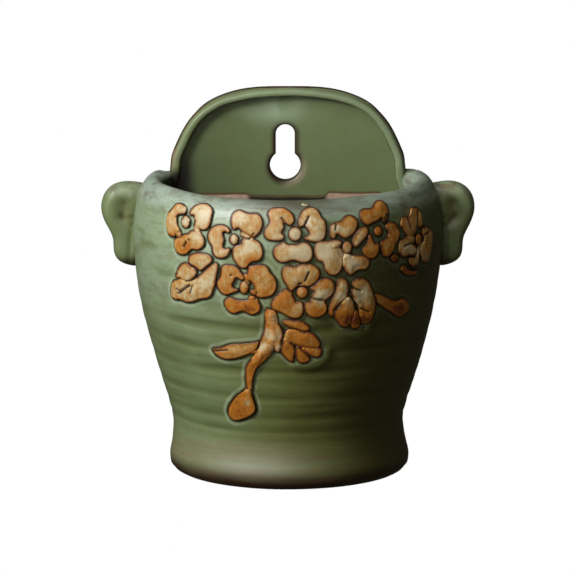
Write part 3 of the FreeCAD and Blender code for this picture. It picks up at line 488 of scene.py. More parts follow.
@dataclass(frozen=True)
class WallGlaze(CeladonGlaze):
    """The thrown wall: pooled rings, dark lines round the relief, brown foot and bare inside, with painted
    shade on the right, painted light on the left, a painted highlight and a painted shadow inside.
    """

    part: Part = Part.WALL
    halo: Rgb = (176, 188, 158)
    rim_pale: Rgb = (164, 179, 162)
    smudged: Rgb = (104, 92, 80)
    dull: Rgb = (84, 80, 62)
    bruised: Rgb = (112, 92, 80)
    painted_shade: Rgb = (50, 52, 14)
    warm_shade_tint: Rgb = (238, 228, 180)
    painted_highlight: Rgb = (158, 158, 142)
    fleck: Rgb = (150, 168, 138)
    scorched: Rgb = (44, 26, 10)
    outline: Rgb = (40, 22, 7)
    dry_clay: Rgb = (150, 122, 104)
    lit_left_across: Span = (-45, 30)
    upper_wall: Span = (60, 104)
    foot_runs: Span = (6, 32)
    rim: Span = (126, 132)
    smudge_rise: Span = (122, 130)
    dull_rise: Span = (129, 134)
    dull_across: Spot = (4.0, 26.0)
    bruise_up: Spot = (97.0, 13.0)
    right_shade_across: Span = (-22, 50)
    right_shade_top: Span = (122, 131)
    warm_across: Span = (-40.0, 8.0)
    warm_top: Span = (98.0, 120.0)
    highlight_across: Spot = (-12.0, 24.0)
    highlight_up: Spot = (12.0, 7.0)
    brown_foot: Span = (2.5, 11.0)
    fleck_top: Span = (20.0, 60.0)
    scorch_across: Spot = (56.0, 5.5)
    scorch_up: Spot = (101.0, 4.0)
    halo_away: Spot = (1.75, 0.6)
    outline_away: Span = (0.4, 1.0)

    def dress(self, coat: Coat, mottle: Wire) -> Wire | float:
        """Lays the wall's own colours from the ground up to the lines round the relief.

        Args:
            coat: The colours so far.
            mottle: Small unevenness; not used.

        Returns:
            The relief of the glaze's level streaks, in millimetres.
        """
        shader = coat.shader
        wisp = shader.noise(9, 4, 0.6, (0.5, 0.5, 1.6), 11)
        streak = shader.noise(2.4, 3, 0.6, (0.06, 0.06, 1.0), 17)
        # painted light: one on the lit left, fading out towards the right
        left = 1 - shader.x.ramp(*self.lit_left_across)
        self.runs(coat, wisp, streak, left)
        self.rim_band(coat, wisp, left)
        self.shades(coat)
        self.foot(coat, wisp)
        contour = shader.painted("contour")
        # pale halo of thin glaze round the relief, painted much stronger on the lit left as painted light
        ring = contour.hill(*self.halo_away) * (0.15 + 0.55 * left) * wisp.ramp(0.25, 0.6)
        coat.lay(ring, self.halo)
        coat.lay((1 - contour.ramp(*self.outline_away)) * 0.98, self.outline)
        bare = shader.mix(wisp.ramp(0.3, 0.7), self.clay, self.dry_clay)
        coat.lay(shader.painted("inside"), bare)
        # painted shadow: near black inside the pot's left, where the lip's shadow falls
        coat.lay(shader.painted("shadow_well") * 0.96, self.painted_shadow)
        return streak * 0.16

    def runs(self, coat: Coat, wisp: Wire, streak: Wire, left: Wire) -> None:
        """Lays pale wisps above, paler on the lit left as painted light, olive in the finger marks and thin
        brown runs near the foot.

        Args:
            coat: The colours so far.
            wisp: Soft level wisps.
            streak: Fine level streaks.
            left: One at the lit left side.
        """
        up = coat.shader.up()
        upper = up.ramp(*self.upper_wall)
        coat.lay(streak.ramp(0.45, 0.7) * 0.3, self.olive)
        # pale wisps of thin glaze, painted paler on the lit left as painted light
        coat.lay(upper * (0.2 + 0.5 * left) * wisp.ramp(0.2, 0.6), self.pale)
        coat.lay(upper * wisp.ramp(0.56, 0.7) * 0.35, self.thin_brown)
        coat.lay(coat.shader.painted("groove").ramp(0.2, 1.1) * 0.7, self.olive)
        coat.lay((1 - up.ramp(*self.foot_runs)) * streak.ramp(0.3, 0.65) * 0.75, self.thin_brown)

    def rim_band(self, coat: Coat, wisp: Wire, left: Wire) -> None:
        """Lays the pale rim, a little paler on the lit left as painted light, with its smudges and its dull
        middle.

        Args:
            coat: The colours so far.
            wisp: Soft level wisps.
            left: One at the lit left side.
        """
        shader = coat.shader
        up = shader.up()
        # pale thin glaze on the rim, a little paler on the lit left as painted light
        coat.lay(up.ramp(*self.rim) * (0.84 + 0.08 * left) * wisp.ramp(0.25, 0.5), self.rim_pale)
        smudge = shader.noise(3.6, 4, 0.7, (0.3, 0.3, 1.0), 31)
        coat.lay(up.ramp(*self.smudge_rise) * smudge.ramp(0.40, 0.70) * 0.7, self.smudged)
        coat.lay(shader.x.hill(*self.dull_across) * up.ramp(*self.dull_rise) * 0.9, self.dull)

    def shades(self, coat: Coat) -> None:
        """Lays bruises among the blossoms, a painted shade over the right side, a warm painted shade tint
        over the lower middle and right, and a painted highlight low on the left.

        Args:
            coat: The colours so far.
        """
        shader = coat.shader
        up = shader.up()
        bruise = shader.noise(11, 4, 0.65, (1.0, 1.0, 1.3), 47)
        coat.lay(up.hill(*self.bruise_up) * bruise.ramp(0.54, 0.66) * 0.55, self.bruised)
        # painted shade: darker olive growing towards the right, away from the light, mostly kept off the rim
        shade = shader.x.ramp(*self.right_shade_across) * (1 - 0.85 * up.ramp(*self.right_shade_top))
        coat.lay(shade * 0.74, self.painted_shade)
        # warm painted shade tint: darker and warmer over the lower middle and right, away from the light
        warm = shader.x.ramp(*self.warm_across) * (1 - up.ramp(*self.warm_top))
        coat.lay(warm, self.warm_shade_tint, "MULTIPLY")
        # painted highlight: a pale grey patch low on the left, where the foot's flare catches the light
        coat.lay(shader.x.hill(*self.highlight_across) * up.hill(*self.highlight_up) * 0.4, self.painted_highlight)

    def foot(self, coat: Coat, wisp: Wire) -> None:
        """Lays the brown foot, the light flecks above it and the scorch under the last blossom.

        Args:
            coat: The colours so far.
            wisp: Soft level wisps.
        """
        shader = coat.shader
        up = shader.up()
        coat.lay((1 - up.ramp(*self.brown_foot)) * (0.75 + 0.5 * wisp), self.brown)
        flecks = shader.specks(14.0, 0.9, 0.12) * (1 - up.ramp(*self.fleck_top))
        coat.lay(flecks * 0.7, self.fleck)
        coat.lay(shader.x.hill(*self.scorch_across) * up.hill(*self.scorch_up) * 0.85, self.scorched)


@dataclass(frozen=True)
class SlabGlaze(CeladonGlaze):
    """The back: brown round the keyhole, bare clay low down inside the pot, wiped behind, with painted shade,
    painted shadow and painted highlights.
    """

    part: Part = Part.SLAB
    cloudy: float = 0.12
    shaded: Rgb = (74, 86, 48)
    strip_edge: Rgb = (84, 48, 22)
    strip_dark_clay: Rgb = (158, 130, 110)
    shadow_below_line: Rgb = (34, 24, 14)
    wiped: Rgb = (156, 130, 108)
    keyhole_rise: float = 14.9
    slot_radius: float = 4.35
    entry_radius: float = 7.1
    lit_right: Span = (2.0, 12.0)
    shade_across: Span = (-42.0, 4.0)
    shade_up: Span = (-8.0, 20.0)
    rim_front: Span = (-4.7, -4.1)
    rim_back: Span = (-0.8, -0.3)
    rim_foot: Span = (-14.0, -10.0)
    rim_above: Span = (-1.0, 2.0)
    front_face: float = -5.0
    glow_across: Spot = (-4.0, 12.0)
    glow_up: Spot = (24.5, 4.5)
    shoulder_aside: Span = (54.4, 55.8)
    shoulder_up: Span = (-15.0, -12.0)
    corner_across: Span = (-46.0, -38.5)
    corner_up: Span = (-4.0, 9.0)
    left_strip: tuple[Span, Span] = ((-43, -40), (-18.5, -15.5))
    right_strip: tuple[Span, Span] = ((17.5, 20.5), (43, 46))
    strip_line: float = -14.6
    deep: Span = (-26.0, -20.0)
    wiped_face: Span = (-0.12, -0.03)
    wiped_away: Span = (0.3, 2.0)

    def dress(self, coat: Coat, mottle: Wire) -> Wire | float:
        """Lays the back's own colours.

        Args:
            coat: The colours so far.
            mottle: Small unevenness.

        Returns:
            No relief of its own.
        """
        shader = coat.shader
        away = self.from_keyhole(shader)
        lit = (shader.x - shader.z * 0.7).ramp(*self.lit_right)
        low = (1 - shader.z.ramp(*self.shade_up)) * 0.2
        # a darker green overall, with painted shade towards the bottom and, much stronger, towards the left
        # where the lip's shadow falls
        coat.lay(low + 0.28 + (1 - shader.x.ramp(*self.shade_across)) * 0.44, self.shaded)
        # brown where the glaze breaks round the keyhole, wider and darker on the upper left, away from the
        # light, as painted shade
        coat.lay((1 - away.ramp(0.3, 3.4 - 1.6 * lit)) * (0.97 - 0.5 * lit), self.brown)
        edging = shader.y.ramp(*self.rim_front) * (1 - shader.y.ramp(*self.rim_back))
        edging = edging * shader.z.ramp(*self.rim_foot) * shader.z.ramp(*self.rim_above)
        coat.lay(edging * 0.9, self.brown)
        # painted highlight: pale clay colour on the keyhole's lower right edge
        coat.lay(away.hill(1.6, 1.2) * lit * 0.5, self.clay)
        # painted highlight: a pale glow above the keyhole
        coat.lay(shader.x.hill(*self.glow_across) * shader.z.hill(*self.glow_up) * 0.65, self.pale)
        shoulder = shader.aside().ramp(*self.shoulder_aside) * shader.z.ramp(*self.shoulder_up)
        coat.lay(shoulder * (0.4 + 0.4 * mottle), self.pale)
        front = shader.maths("LESS_THAN", shader.y, self.front_face)
        # painted shadow: near black in the lower left corner under the lip, kept off the shoulder
        corner_shadow = (1 - shader.x.ramp(*self.corner_across)) * (1 - shader.z.ramp(*self.corner_up))
        coat.lay(corner_shadow * (1 - shoulder) * front * 0.97, self.painted_shadow)
        self.strips(coat, mottle, front)
        cloth = shader.noise(16, 4, 0.6, (1.0, 1.0, 0.6), 41).ramp(0.42, 0.6)
        rear = shader.y.ramp(*self.wiped_face) * away.ramp(*self.wiped_away)
        coat.lay(rear * (0.3 + 0.55 * cloth), self.wiped)
        return 0.0

    def from_keyhole(self, shader: Shader) -> Wire:
        """How far a place lies outside the keyhole.

        Args:
            shader: The shader being written.

        Returns:
            The distance in millimetres.
        """
        along = shader.maths("MINIMUM", shader.maths("MAXIMUM", shader.z, 0.0), self.keyhole_rise)
        slot = shader.length(shader.x, shader.z - along) - self.slot_radius
        entry = shader.length(shader.x, shader.z) - self.entry_radius
        return shader.maths("MINIMUM", slot, entry)

    def strips(self, coat: Coat, mottle: Wire, front: Wire) -> None:
        """Lays the two strips of bare clay at the rim's height and, below their line, a painted shadow beside
        and between them, with bare clay deeper down.

        Args:
            coat: The colours so far.
            mottle: Small unevenness.
            front: One on the slab's front face.
        """
        shader = coat.shader
        sway = (shader.noise(12, 3, 0.5, shift=21) - 0.5) * 1.6
        left, right = (shader.x.ramp(*start) * (1 - shader.x.ramp(*end))
                       for start, end in (self.left_strip, self.right_strip))
        line = sway + self.strip_line + left * 0.9 + right * 1.8
        coat.lay((shader.z - line).hill(0.5, 0.6) * front * 0.8, self.strip_edge)
        clay = shader.mix(mottle.ramp(0.35, 0.7), self.clay, self.strip_dark_clay)
        # painted shadow: near black below the line beside and between the strips, bare clay again deeper down
        clay = shader.mix(left + right + 1 - shader.z.ramp(*self.deep), self.shadow_below_line, clay)
        coat.lay((1 - (shader.z - line).ramp(-0.3, 0.3)) * front, clay)


@dataclass(frozen=True)
class LipGlaze(CeladonGlaze):
    """The lip: worn brown behind, a painted shade line inside and a painted shadow over its left foot."""

    part: Part = Part.LIP
    worn_brown: Rgb = (140, 104, 82)
    edge_brown: Rgb = (58, 36, 20)
    flank_pink: Rgb = (150, 118, 98)
    pale_across: Span = (-45.0, -10.0)
    crown_up: Span = (12.0, 34.0)
    crown_shift: float = 1.6
    worn_depth: Span = (-9.3, -7.2)
    edge_depth: Span = (-7.8, -6.8)
    inner_depth: Span = (-13.6, -11.8)
    foot_shadow_across: Span = (-20.0, 0.0)
    foot_shadow_up: Span = (-4.5, 1.5)
    flank_across: Span = (-51.5, -48.5)
    flank_up: Spot = (8.0, 7.0)

    def dress(self, coat: Coat, mottle: Wire) -> Wire | float:
        """Lays the lip's own colours.

        Args:
            coat: The colours so far.
            mottle: Small unevenness.

        Returns:
            No relief of its own.
        """
        relief = super().dress(coat, mottle)
        shader = coat.shader
        depth = shader.painted("rim")
        worn = shader.noise(9, 3, 0.6, shift=31).ramp(0.42, 0.56)
        coat.lay(0.3 * shader.x.ramp(*self.pale_across), self.pale)
        behind = depth - shader.z.ramp(*self.crown_up) * self.crown_shift
        coat.lay(behind.ramp(*self.worn_depth) * (0.1 + 0.65 * worn), self.worn_brown)
        coat.lay(behind.ramp(*self.edge_depth) * 0.94, self.edge_brown)
        # painted shade: brown on the inner face where the lip meets the panel
        coat.lay((1 - depth.ramp(*self.inner_depth)) * 0.85, self.brown)
        # painted shadow: near black over the lip's low left foot, where it goes down inside the pot
        left = 1 - shader.x.ramp(*self.foot_shadow_across)
        coat.lay((1 - shader.z.ramp(*self.foot_shadow_up)) * left * 0.97, self.painted_shadow)
        flank = (1 - shader.x.ramp(*self.flank_across)) * shader.z.hill(*self.flank_up) * worn
        coat.lay(flank * 0.6, self.flank_pink)
        return relief


@dataclass(frozen=True)
class EarGlaze(CeladonGlaze):
    """The ears: painted shade below, olive in the cup, scorched on top and paler there as painted light."""

    part: Part = Part.EAR
    ear_shade: Rgb = (48, 41, 10)
    burnt: Rgb = (86, 66, 42)
    cup_olive: Rgb = (88, 84, 40)
    shade_slope: float = 0.55
    painted_shade: Span = (-3.0, 3.0)
    burns_aside: tuple[Spot, Spot] = ((69.0, 2.6), (80.0, 2.0))
    burn_up: Spot = (-8.4, 1.8)
    cup_up: Spot = (-18.0, 9.0)
    cup_aside: Spot = (74.5, 5.0)
    top: Span = (-14.0, -8.0)

    def dress(self, coat: Coat, mottle: Wire) -> Wire | float:
        """Lays the ears' own colours.

        Args:
            coat: The colours so far.
            mottle: Small unevenness.

        Returns:
            No relief of its own.
        """
        relief = super().dress(coat, mottle)
        shader = coat.shader
        aside = shader.aside()
        # painted shade: darker towards each ear's underside
        coat.lay((1 - (shader.z + aside * self.shade_slope).ramp(*self.painted_shade)) * 0.85, self.ear_shade)
        inner, outer = (aside.hill(*place) for place in self.burns_aside)
        coat.lay((inner + outer) * shader.z.hill(*self.burn_up) * 0.75, self.burnt)
        coat.lay(shader.z.hill(*self.cup_up) * aside.hill(*self.cup_aside) * 0.6, self.cup_olive)
        smudge = shader.noise(5, 3, 0.6, shift=31)
        top = shader.z.ramp(*self.top)
        # painted light: paler on each ear's top
        coat.lay(top * 0.4, self.pale)
        coat.lay(top * smudge.ramp(0.5, 0.66) * 0.8, self.thin_brown)
        return relief


@dataclass(frozen=True)
class CupGlaze(CeladonGlaze):
    """The low swellings under two blooms, where the glaze lies thick and olive."""

    part: Part = Part.CUP
    thick: float = 0.6

    def dress(self, coat: Coat, mottle: Wire) -> Wire | float:
        """Lays the olive over the bends' colours.

        Args:
            coat: The colours so far.
            mottle: Small unevenness.

        Returns:
            No relief of its own.
        """
        relief = super().dress(coat, mottle)
        coat.lay(self.thick, self.olive)
        return relief


@dataclass(frozen=True)
class ReliefGlaze:
    """Coloured slip on the relief: cream to orange to red brown, dark where it meets the wall.

    The washes run from one slip to the next by tone, the rubs lie along an edge, by the distance from
    it in millimetres.
    """

    name: str
    cream: Rgb = (206, 186, 146)
    tan: Rgb = (188, 146, 84)
    orange: Rgb = (178, 108, 26)
    russet: Rgb = (106, 46, 12)
    line: Rgb = (38, 20, 6)
    tan_wash: Span = (0.0, 0.45)
    orange_wash: Span = (0.4, 0.95)
    russet_wash: Span = (1.0, 1.7)
    unburnt_tone: Span = (-1.2, -0.7)
    orange_rub: Span = (0.3, 1.7)
    russet_rub: Span = (0.25, 0.75)
    line_rub: Span = (0.12, 0.38)
    line_rise: float = 0.3
    lift: float = 1.15

    def material(self) -> bpy.types.Material:
        """Makes the finish.

        Returns:
            The material.
        """
        shader = Shader(self.name)
        tone = shader.painted("tone")
        edge = shader.painted("edge")
        mottle = shader.noise(2.6, 4, 0.6, shift=5)
        grain = shader.noise(0.6, 2, 0.6, shift=9)
        brush = shader.noise(1.1, 3, 0.65, (1.0, 1.0, 0.22), 13)
        wash = tone + (mottle - 0.5) * 1.5 + (brush - 0.5) * 1.3
        coat = Coat(shader, self.cream)
        coat.lay(wash.ramp(*self.tan_wash), self.tan)
        coat.lay(wash.ramp(*self.orange_wash), self.orange)
        coat.lay(wash.ramp(*self.russet_wash), self.russet)
        burnt = tone.ramp(*self.unburnt_tone)
        coat.lay((1 - edge.ramp(*self.orange_rub)) * (0.35 + 0.5 * mottle) * burnt, self.orange)
        coat.lay((1 - edge.ramp(*self.russet_rub)) * 0.75 * burnt, self.russet)
        coat.lay((1 - edge.ramp(*self.line_rub)) * 0.8, self.line)
        coat.lay((1 - shader.painted("rise").ramp(self.line_rise, self.lift)) * 0.97, self.line)
        coat.lay(shader.painted("crease") * 0.97, self.line)
        coat.lay(shader.specks(3.5, 0.2, 0.35) * 0.5, self.orange)
        relief = mottle * 0.14 + grain * 0.04 + brush * 0.06
        return shader.close(coat.colour, 0.46 + mottle * 0.14, relief, 0.15, 0.8)


@dataclass(frozen=True)
class BareClay:
    """Unglazed pinkish clay with the rings of the potter's fingers."""

    light: Rgb = (176, 150, 132)
    dark: Rgb = (146, 118, 100)
    grit: Rgb = (96, 66, 44)
    rings: float = 1.1

    def material(self) -> bpy.types.Material:
        """Makes the finish.

        Returns:
            The material.
        """
        shader = Shader("bare_clay")
        mottle = shader.noise(6, 4, 0.6)
        grain = shader.noise(0.7, 3, 0.7, shift=4)
        turn = shader.length(shader.x - LAYOUT.middle / MM, shader.y + LAYOUT.setback / MM)
        swirl = shader.maths("SINE", turn * self.rings + mottle * 3)
        coat = Coat(shader, self.light)
        coat.lay(mottle.ramp(0.3, 0.7), self.dark)
        coat.lay(shader.specks(4, 0.25, 0.4) * 0.6, self.grit)
        return shader.close(coat.colour, 0.82 + grain * 0.1, swirl * 0.12 + grain * 0.1, 0.0, 0.8)


# Mesh helpers


def finished(name: str, mesh: bmesh.types.BMesh, material: bpy.types.Material, nodes: Sequence[str]) -> bpy.types.Object:
    """Turns a bmesh into a smooth shaded piece that rides on the vase.

    Args:
        name: The piece's name.
        mesh: Its bmesh, which is freed.
        material: Its finish.
        nodes: The frame's nodes that it stands for.

    Returns:
        The piece.
    """
    data = bpy.data.meshes.new(name)
    mesh.to_mesh(data)
    mesh.free()
    data.materials.append(material)
    data.polygons.foreach_set("use_smooth", [True] * len(data.polygons))
    piece = bpy.data.objects.new(name, data)
    bpy.context.scene.collection.objects.link(piece)
    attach(piece, "root")
    if nodes:
        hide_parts(*nodes)
    LOG.info("%s: %d faces", name, len(data.polygons))
    return piece


def node_mesh(node: bpy.types.Object) -> bmesh.types.BMesh:
    """Copies a node's mesh and merges its doubles.

    Args:
        node: The frame's node.

    Returns:
        The copy.
    """
    mesh = bmesh.new()
    mesh.from_mesh(node.data)
    bmesh.ops.remove_doubles(mesh, verts=mesh.verts, dist=1e-6)
    return mesh


def voxelled(mesh: bmesh.types.BMesh, size: float, rounds: int) -> bmesh.types.BMesh:
    """Remakes a closed mesh as even small faces, and rubs its edges round.

    Args:
        mesh: The closed mesh, which is freed.
        size: The size of a face in metres.
        rounds: How often it is smoothed.

    Returns:
        The new mesh.
    """
    data = bpy.data.meshes.new("clay")
    mesh.to_mesh(data)
    mesh.free()
    lump = bpy.data.objects.new("clay", data)
    bpy.context.scene.collection.objects.link(lump)
    modifier = lump.modifiers.new("voxels", "REMESH")
    modifier.mode = "VOXEL"
    modifier.voxel_size = size
    shaped = bpy.data.meshes.new_from_object(lump.evaluated_get(bpy.context.evaluated_depsgraph_get()))
    bpy.data.objects.remove(lump)
    result = bmesh.new()
    result.from_mesh(shaped)
    rub(result, rounds)
    return result


def rub(mesh: bmesh.types.BMesh, rounds: int) -> None:
    """Rubs a mesh smooth a few times."""
    for _ in range(rounds):
        bmesh.ops.smooth_vert(mesh, verts=mesh.verts, factor=0.5, use_axis_x=True, use_axis_y=True,
                              use_axis_z=True)


def close_holes(mesh: bmesh.types.BMesh) -> None:
    """Fills every open loop of a mesh."""
    bmesh.ops.holes_fill(mesh, edges=[edge for edge in mesh.edges if edge.is_boundary], sides=0)


def paint(mesh: bmesh.types.BMesh, name: str, value: Callable[[bmesh.types.BMVert], float]) -> None:
    """Stores a value on every point of a mesh.

    Args:
        mesh: The mesh.
        name: The value's name.
        value: Gives the value for a point.
    """
    layer = mesh.verts.layers.float.new(name)
    for vert in mesh.verts:
        vert[layer] = value(vert)


def hollowness(vert: bmesh.types.BMVert, scale: float) -> float:
    """How hollow the surface is at a point.

    Args:
        vert: The point.
        scale: The hollowness that counts as one, in metres.

    Returns:
        Above zero in a hollow and below zero on an edge.
    """
    around = [edge.other_vert(vert).co for edge in vert.link_edges]
    if not around:
        return 0.0
    average = sum(around, Vector()) / len(around)
    return (average - vert.co).dot(vert.normal) / scale


def paint_bend(mesh: bmesh.types.BMesh, scale: float, rounds: int = 6, limit: float = 1.5) -> None:
    """Stores how hollow or crested the surface is, evened out over neighbours.

    Args:
        mesh: The mesh.
        scale: The hollowness that counts as one, in metres.
        rounds: How often it is evened out.
        limit: The most that is stored.
    """
    mesh.normal_update()
    mesh.verts.index_update()
    values = [hollowness(vert, scale) for vert in mesh.verts]
    around = [[edge.other_vert(vert).index for edge in vert.link_edges] for vert in mesh.verts]
    for _ in range(rounds):
        values = [(value + sum(values[other] for other in others)) / (1 + len(others))
                  for value, others in zip(values, around)]
    paint(mesh, "bend", lambda vert: min(max(values[vert.index], -limit), limit))


# The thrown wall


@dataclass
class ThrownWall:
    """The half round wall, thrown on the wheel: rings, a rolled rim and a flared foot.

    Sections are in millimetres: heights above the foot, and radii or distances from the foot's own
    radius. Turns are in degrees from the front, finger marks are height, depth and width. Waves are
    how far, how fast round the wall and how far on from mark to mark the marks wander up and down.
    """

    relief_low: float = 52.0
    relief_high: float = 131.0
    fine: float = 0.6
    coarse: float = 1.3
    relief_from: float = -60.0
    relief_to: float = 78.0
    sweep: float = 114.0
    fine_turn: float = 0.5
    coarse_turn: float = 1.6
    joint: float = -0.0052
    foot: tuple[Spot, ...] = ((-5.5, 0.0), (-4.2, 0.05), (-2.4, 0.4), (-1.1, 1.1), (-0.3, 2.1))
    outer_start: float = 3.0
    outer_end: float = 133.0
    rim: tuple[Spot, ...] = ((66.3, 133.3), (65.7, 134.2), (64.8, 135.1), (63.7, 135.8), (62.5, 136.25),
                             (61.3, 136.4), (60.2, 136.2), (59.3, 135.6), (58.5, 134.6), (57.9, 133.4),
                             (57.5, 132.0), (57.5, 130.5))
    inner: tuple[Spot, ...] = ((57.8, 128.0), (59.3, 124.0), (61.5, 119.0), (63.5, 114.0))
    grooves: tuple[tuple[float, float, float], ...] = (
        (118.0, 0.14, 2.4), (108.5, 0.20, 2.4), (98.5, 0.28, 2.6), (88.4, 0.42, 2.4), (82.5, 0.16, 1.4),
        (77.7, 0.75, 2.5), (67.6, 0.66, 2.3), (62.0, 0.14, 1.2), (57.0, 0.62, 2.3), (51.5, 0.20, 1.4),
        (45.2, 0.60, 2.2), (39.5, 0.20, 1.4), (34.1, 0.55, 2.0), (27.4, 0.50, 1.3), (22.5, 0.14, 1.4),
        (14.5, 0.16, 2.2),
    )
    thickness: float = 5.5
    inner_start: float = 110.0
    inner_end: float = 2.0
    inner_step: float = 4.5
    skin: float = 3.0
    shoulder: float = 133.2
    joint_fade: Span = (-0.012, -0.006)
    inside_depth: Span = (4.4, 5.4)
    inside_top: Span = (119.0, 124.0)
    shadow_well_back: Span = (-0.030, -0.016)
    shadow_well_depth: Span = (5.6, 7.2)
    shadow_well_top: Span = (134.0, 136.2)
    waves: tuple[tuple[float, float, float], ...] = ((0.7, 1.0, 1.7), (0.25, 3.1, 1.0))
    mark_share: float = 0.65
    mark_change: float = 0.55
    mark_side_fade: float = 0.75
    mark_depth: float = 1.25
    mark_full: float = 0.55
    mark_sides: Span = (48.0, 66.0)
    unevenness: float = 0.35
    far: float = 9.0
    cup_swell: float = 1.3
    cup_reach: float = 2.4
    cup_far: float = 8.0
    foot_lean: float = 1.3
    foot_lean_across: Span = (0.0, 0.05)
    foot_lean_up: Span = (4, 30)
    rim_thicken: float = 3.0
    rim_thicken_back: Span = (-0.022, -0.006)
    rim_thicken_up: Span = (112, 126)
    rim_drop: float = 0.6
    rim_drop_back: Span = (-0.048, -0.014)
    rim_drop_up: Span = (116, 130)
    rim_from: float = 128.0
    rim_sway: float = 0.4
    rim_wander: float = 0.3

    def profile(self) -> list[Spot]:
        """The wall's closed section, from the foot up the outside and down the inside.

        Returns:
            Radius and height above the foot, in millimetres.
        """
        base = LAYOUT.radius(0) / MM
        section = [(base + across, up) for across, up in self.foot]
        height = self.outer_start
        while height < self.outer_end:
            section.append((LAYOUT.radius(height * MM) / MM, height))
            height += self.fine if self.relief_low < height < self.relief_high else self.coarse
        section += self.rim
        section += self.inner
        height = self.inner_start
        while height > self.inner_end:
            section.append((LAYOUT.radius(height * MM) / MM - self.thickness, height))
            height -= self.inner_step
        return section

    def groove(self, height: float, turn: float) -> float:
        """How deep the potter's finger marks are at a place on the wall.

        Args:
            height: Height above the foot in millimetres.
            turn: The angle round the axis in radians.

        Returns:
            The depth in millimetres.
        """
        total = 0.0
        for number, (middle, depth, width) in enumerate(self.grooves):
            wander = sum(rise * math.sin(rate * turn + shift * number) for rise, rate, shift in self.waves)
            away = height - middle - wander
            if abs(away) < 3 * width:
                change = self.mark_change * noise.noise(Vector((turn * 2.2, middle * 0.2, 3.0)))
                total += depth * (self.mark_share + change) * bump_of(away, width)
        return total

    def build(self, relief: BVHTree, cups: BVHTree, finish: CeladonGlaze) -> bpy.types.Object:
        """Throws the wall.

        Args:
            relief: The applied pieces, for the dark line round each.
            cups: The swellings under two blooms.
            finish: The glaze.

        Returns:
            The piece.
        """
        mesh = bmesh.new()
        start = math.radians(-self.sweep)
        points = [mesh.verts.new((LAYOUT.middle + radius * MM * math.sin(start),
                                  -LAYOUT.setback - radius * MM * math.cos(start), LAYOUT.foot + height * MM))
                  for radius, height in self.profile()]
        geometry = points + [mesh.edges.new(pair) for pair in zip(points, points[1:] + points[:1])]
        turns = ((-self.sweep, self.relief_from, self.coarse_turn),
                 (self.relief_from, self.relief_to, self.fine_turn),
                 (self.relief_to, self.sweep, self.coarse_turn))
        for low, high, step in turns:
            spun = bmesh.ops.spin(mesh, geom=geometry, cent=(LAYOUT.middle, -LAYOUT.setback, 0),
                                  axis=(0, 0, 1), dvec=(0, 0, 0), angle=math.radians(high - low),
                                  steps=round((high - low) / step), use_merge=False, use_duplicate=False)
            geometry = spun["geom_last"]
        bmesh.ops.bisect_plane(mesh, geom=mesh.verts[:] + mesh.edges[:] + mesh.faces[:], dist=1e-7,
                               plane_co=(0, self.joint, 0), plane_no=(0, 1, 0), clear_outer=True)
        close_holes(mesh)
        bmesh.ops.recalc_face_normals(mesh, faces=mesh.faces)
        self.mark(mesh, relief, cups)
        return finished("pot_wall_glazed", mesh, finish.material(), ["pot_wall"])

    def mark(self, mesh: bmesh.types.BMesh, relief: BVHTree, cups: BVHTree) -> None:
        """Presses the finger marks into the wall and stores what the glaze reads.

        Args:
            mesh: The wall.
            relief: The applied pieces.
            cups: The swellings under two blooms.
        """
        layers = {key: mesh.verts.layers.float.new(key) for key in ("groove", "contour", "inside", "shadow_well")}
        for vert in mesh.verts:
            height = (vert.co.z - LAYOUT.foot) / MM
            outward = LAYOUT.outward(vert.co)
            depth = -LAYOUT.lift(vert.co) / MM
            radius = math.hypot(vert.co.x - LAYOUT.middle, vert.co.y + LAYOUT.setback)
            turn = math.atan2(outward.x, -outward.y)
            outer = depth < self.skin and height < self.shoulder
            free = 1 - ease(vert.co.y, *self.joint_fade)
            vert[layers["inside"]] = ease(depth, *self.inside_depth) * (1 - ease(height, *self.inside_top))
            vert[layers["contour"]] = self.far
            # stores where the painted shadow falls inside the pot's left, by the lip
            if vert.co.x < 0:
                vert[layers["shadow_well"]] = (ease(vert.co.y, *self.shadow_well_back) * ease(depth, *self.shadow_well_depth)
                                        * (1 - ease(height, *self.shadow_well_top)))
            if outer:
                aside = ease(abs(vert.co.x - LAYOUT.middle) / MM, *self.mark_sides)
                deep = self.mark_depth * self.groove(height, turn) * free * (1 - self.mark_side_fade * aside)
                vert[layers["groove"]] = deep / self.mark_full
                uneven = self.unevenness * noise.noise(Vector((turn * 2.0, height * 0.03, 1.0))) * free
                vert.co += outward * MM * (uneven - deep)
                vert[layers["contour"]] = self.gap(relief, vert.co)
                swelling = self.gap(cups, vert.co)
                if swelling < self.cup_far:
                    vert.co += outward * MM * self.cup_swell * bump_of(swelling, self.cup_reach)
                vert.co.x += (MM * self.foot_lean * ease(vert.co.x, *self.foot_lean_across)
                              * (1 - ease(height, *self.foot_lean_up)))
            if depth > self.skin:
                vert.co -= (outward * MM * self.rim_thicken * ease(vert.co.y, *self.rim_thicken_back)
                            * ease(height, *self.rim_thicken_up))
            vert.co.z -= (MM * self.rim_drop * ease(vert.co.y, *self.rim_drop_back)
                          * ease(height, *self.rim_drop_up))
            if not outer and height > self.rim_from:
                sway = self.rim_sway * noise.noise(Vector((turn * 2.4, 5.0, radius * 30))) * free
                vert.co.z += sway * MM
                vert.co += outward * MM * self.rim_wander * noise.noise(Vector((turn * 3.0, 9.0, 2.0))) * free

    def gap(self, tree: BVHTree, place: Vector) -> float:
        """How far a place is from a shape in millimetres, up to what counts as far."""
        found = tree.find_nearest(place, self.far * MM)
        return found[3] / MM if found[0] is not None else self.far


# Hand formed clay


